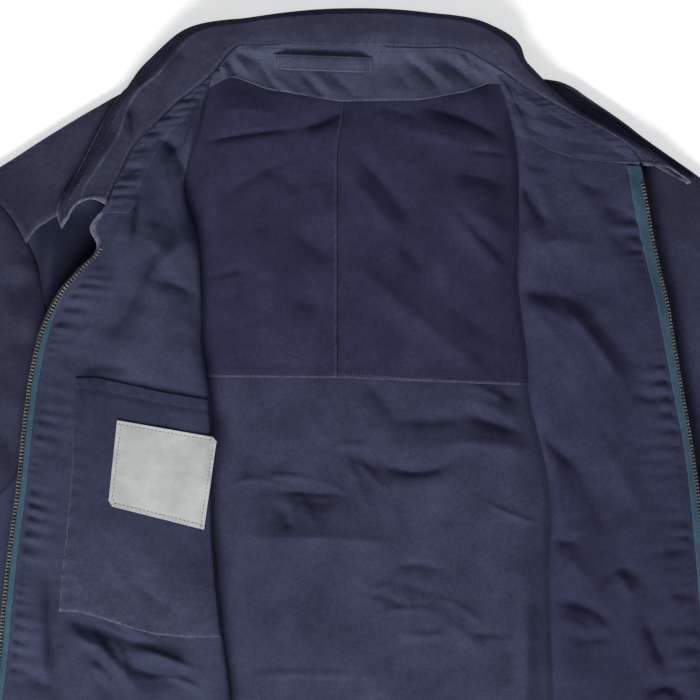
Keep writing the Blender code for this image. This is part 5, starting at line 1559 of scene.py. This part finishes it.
def add_stage(sizes):
    """Pale floor, soft lights and the camera straight above."""
    scene = bpy.context.scene
    colour = scene.garment_colours.floor
    made = bmesh.new()
    bmesh.ops.create_grid(made, x_segments=1, y_segments=1, size=6.0)
    floor = linked("floor", mesh_of("floor", made))
    look = Look("pale floor", 0.9)
    cloudy = look.noise(look.add("TexCoord", "Object", {}), 3.0, 2.0, 0.5)
    glow = {"Emission Color": (1.0, 1.0, 1.0, 1.0), "Emission Strength": 0.5}
    look.put(look.shader, {"Specular IOR Level": 0.1, **glow})
    floor.data.materials.append(look.finish(look.mix(cloudy, toned(colour, 0.985), toned(colour))))

    centre = Vector(CENTRE * MM)
    for name, place, power, size in (
        ("key light", Vector((-0.45, -1.42, 1.12)), 60.0, 1.0),
        ("fill light", Vector((1.0, 1.2, 2.2)), 9.0, 1.6),
    ):
        light = bpy.data.lights.new(name, "AREA")
        light.energy, light.size = power, size
        lamp = linked(name, light)
        lamp.location = centre + place
        lamp.rotation_euler = place.to_track_quat("Z", "Y").to_euler()
    scene.world = bpy.data.worlds.new("studio")
    scene.world.use_nodes = True
    sky = scene.world.node_tree.nodes["Background"].inputs
    sky["Color"].default_value = (0.92, 0.96, 1.0, 1.0)
    sky["Strength"].default_value = 0.20
    scene.view_settings.view_transform = "Standard"

    camera = bpy.data.cameras.new("camera")
    camera.sensor_width = 36.0
    camera.lens = 36.0 * (sizes.camera_height - 0.012) / sizes.view_width
    camera.clip_end = 30.0
    scene.camera = linked("camera", camera)
    scene.camera.location = centre + Vector((0, 0, sizes.camera_height))


# ---------------------------------------------------------------------------------------------
# Operators and panel


class GARMENT_OT_stage(bpy.types.Operator):
    """Adds the floor, the lights and the camera"""

    bl_idname = "garment.stage"
    bl_label = "Add stage"

    def execute(self, context):
        add_stage(context.scene.garment_sizes)
        return {"FINISHED"}


class GARMENT_OT_back(bpy.types.Operator):
    """Adds the back, its yoke, the neck facing and the hanger loop"""

    bl_idname = "garment.back"
    bl_label = "Add back"

    def execute(self, context):
        add_back()
        return {"FINISHED"}


class GARMENT_OT_fronts(bpy.types.Operator):
    """Adds both fronts with their yokes, facings and waistbands"""

    bl_idname = "garment.fronts"
    bl_label = "Add fronts"

    def execute(self, context):
        add_fronts()
        return {"FINISHED"}


class GARMENT_OT_collar(bpy.types.Operator):
    """Adds the collar"""

    bl_idname = "garment.collar"
    bl_label = "Add collar"

    def execute(self, context):
        add_collar(context.scene.garment_sizes)
        return {"FINISHED"}


class GARMENT_OT_pocket(bpy.types.Operator):
    """Adds the inside pocket and its bare label"""

    bl_idname = "garment.pocket"
    bl_label = "Add pocket"

    def execute(self, context):
        add_pocket()
        return {"FINISHED"}


class GARMENT_OT_sleeves(bpy.types.Operator):
    """Adds both sleeves and their cuffs"""

    bl_idname = "garment.sleeves"
    bl_label = "Add sleeves"

    def execute(self, context):
        add_sleeves(context.scene.garment_sizes)
        return {"FINISHED"}


class GARMENT_OT_zip(bpy.types.Operator):
    """Adds the zip's tapes, teeth and metal ends"""

    bl_idname = "garment.zip"
    bl_label = "Add zip"

    def execute(self, context):
        add_zip(context.scene.garment_sizes)
        return {"FINISHED"}


class GARMENT_OT_stitches(bpy.types.Operator):
    """Adds every row of stitches"""

    bl_idname = "garment.stitches"
    bl_label = "Add stitches"

    def execute(self, context):
        add_stitches(context.scene.garment_sizes)
        return {"FINISHED"}


OPERATORS = (
    GARMENT_OT_stage,
    GARMENT_OT_back,
    GARMENT_OT_fronts,
    GARMENT_OT_collar,
    GARMENT_OT_pocket,
    GARMENT_OT_sleeves,
    GARMENT_OT_zip,
    GARMENT_OT_stitches,
)


class GARMENT_PT_panel(bpy.types.Panel):
    """Lists the garment's operators and sizes in the sidebar"""

    bl_label = "Laid-out windbreaker"
    bl_idname = "GARMENT_PT_panel"
    bl_space_type = "VIEW_3D"
    bl_region_type = "UI"
    bl_category = "Garment"

    def draw(self, context):
        for made in OPERATORS:
            self.layout.operator(made.bl_idname)
        for group in (context.scene.garment_sizes, context.scene.garment_colours):
            for name in group.__annotations__:
                self.layout.prop(group, name)


CLASSES = (GarmentSizes, GarmentColours, *OPERATORS, GARMENT_PT_panel)


def register():
    for cls in CLASSES:
        bpy.utils.register_class(cls)
    bpy.types.Scene.garment_sizes = PointerProperty(type=GarmentSizes)
    bpy.types.Scene.garment_colours = PointerProperty(type=GarmentColours)


def unregister():
    del bpy.types.Scene.garment_colours
    del bpy.types.Scene.garment_sizes
    for cls in reversed(CLASSES):
        bpy.utils.unregister_class(cls)


def main():
    """Builds every piece in order."""
    register()
    for made in OPERATORS:
        group, name = made.bl_idname.split(".")
        getattr(getattr(bpy.ops, group), name)()


if __name__ == "__main__":
    main()
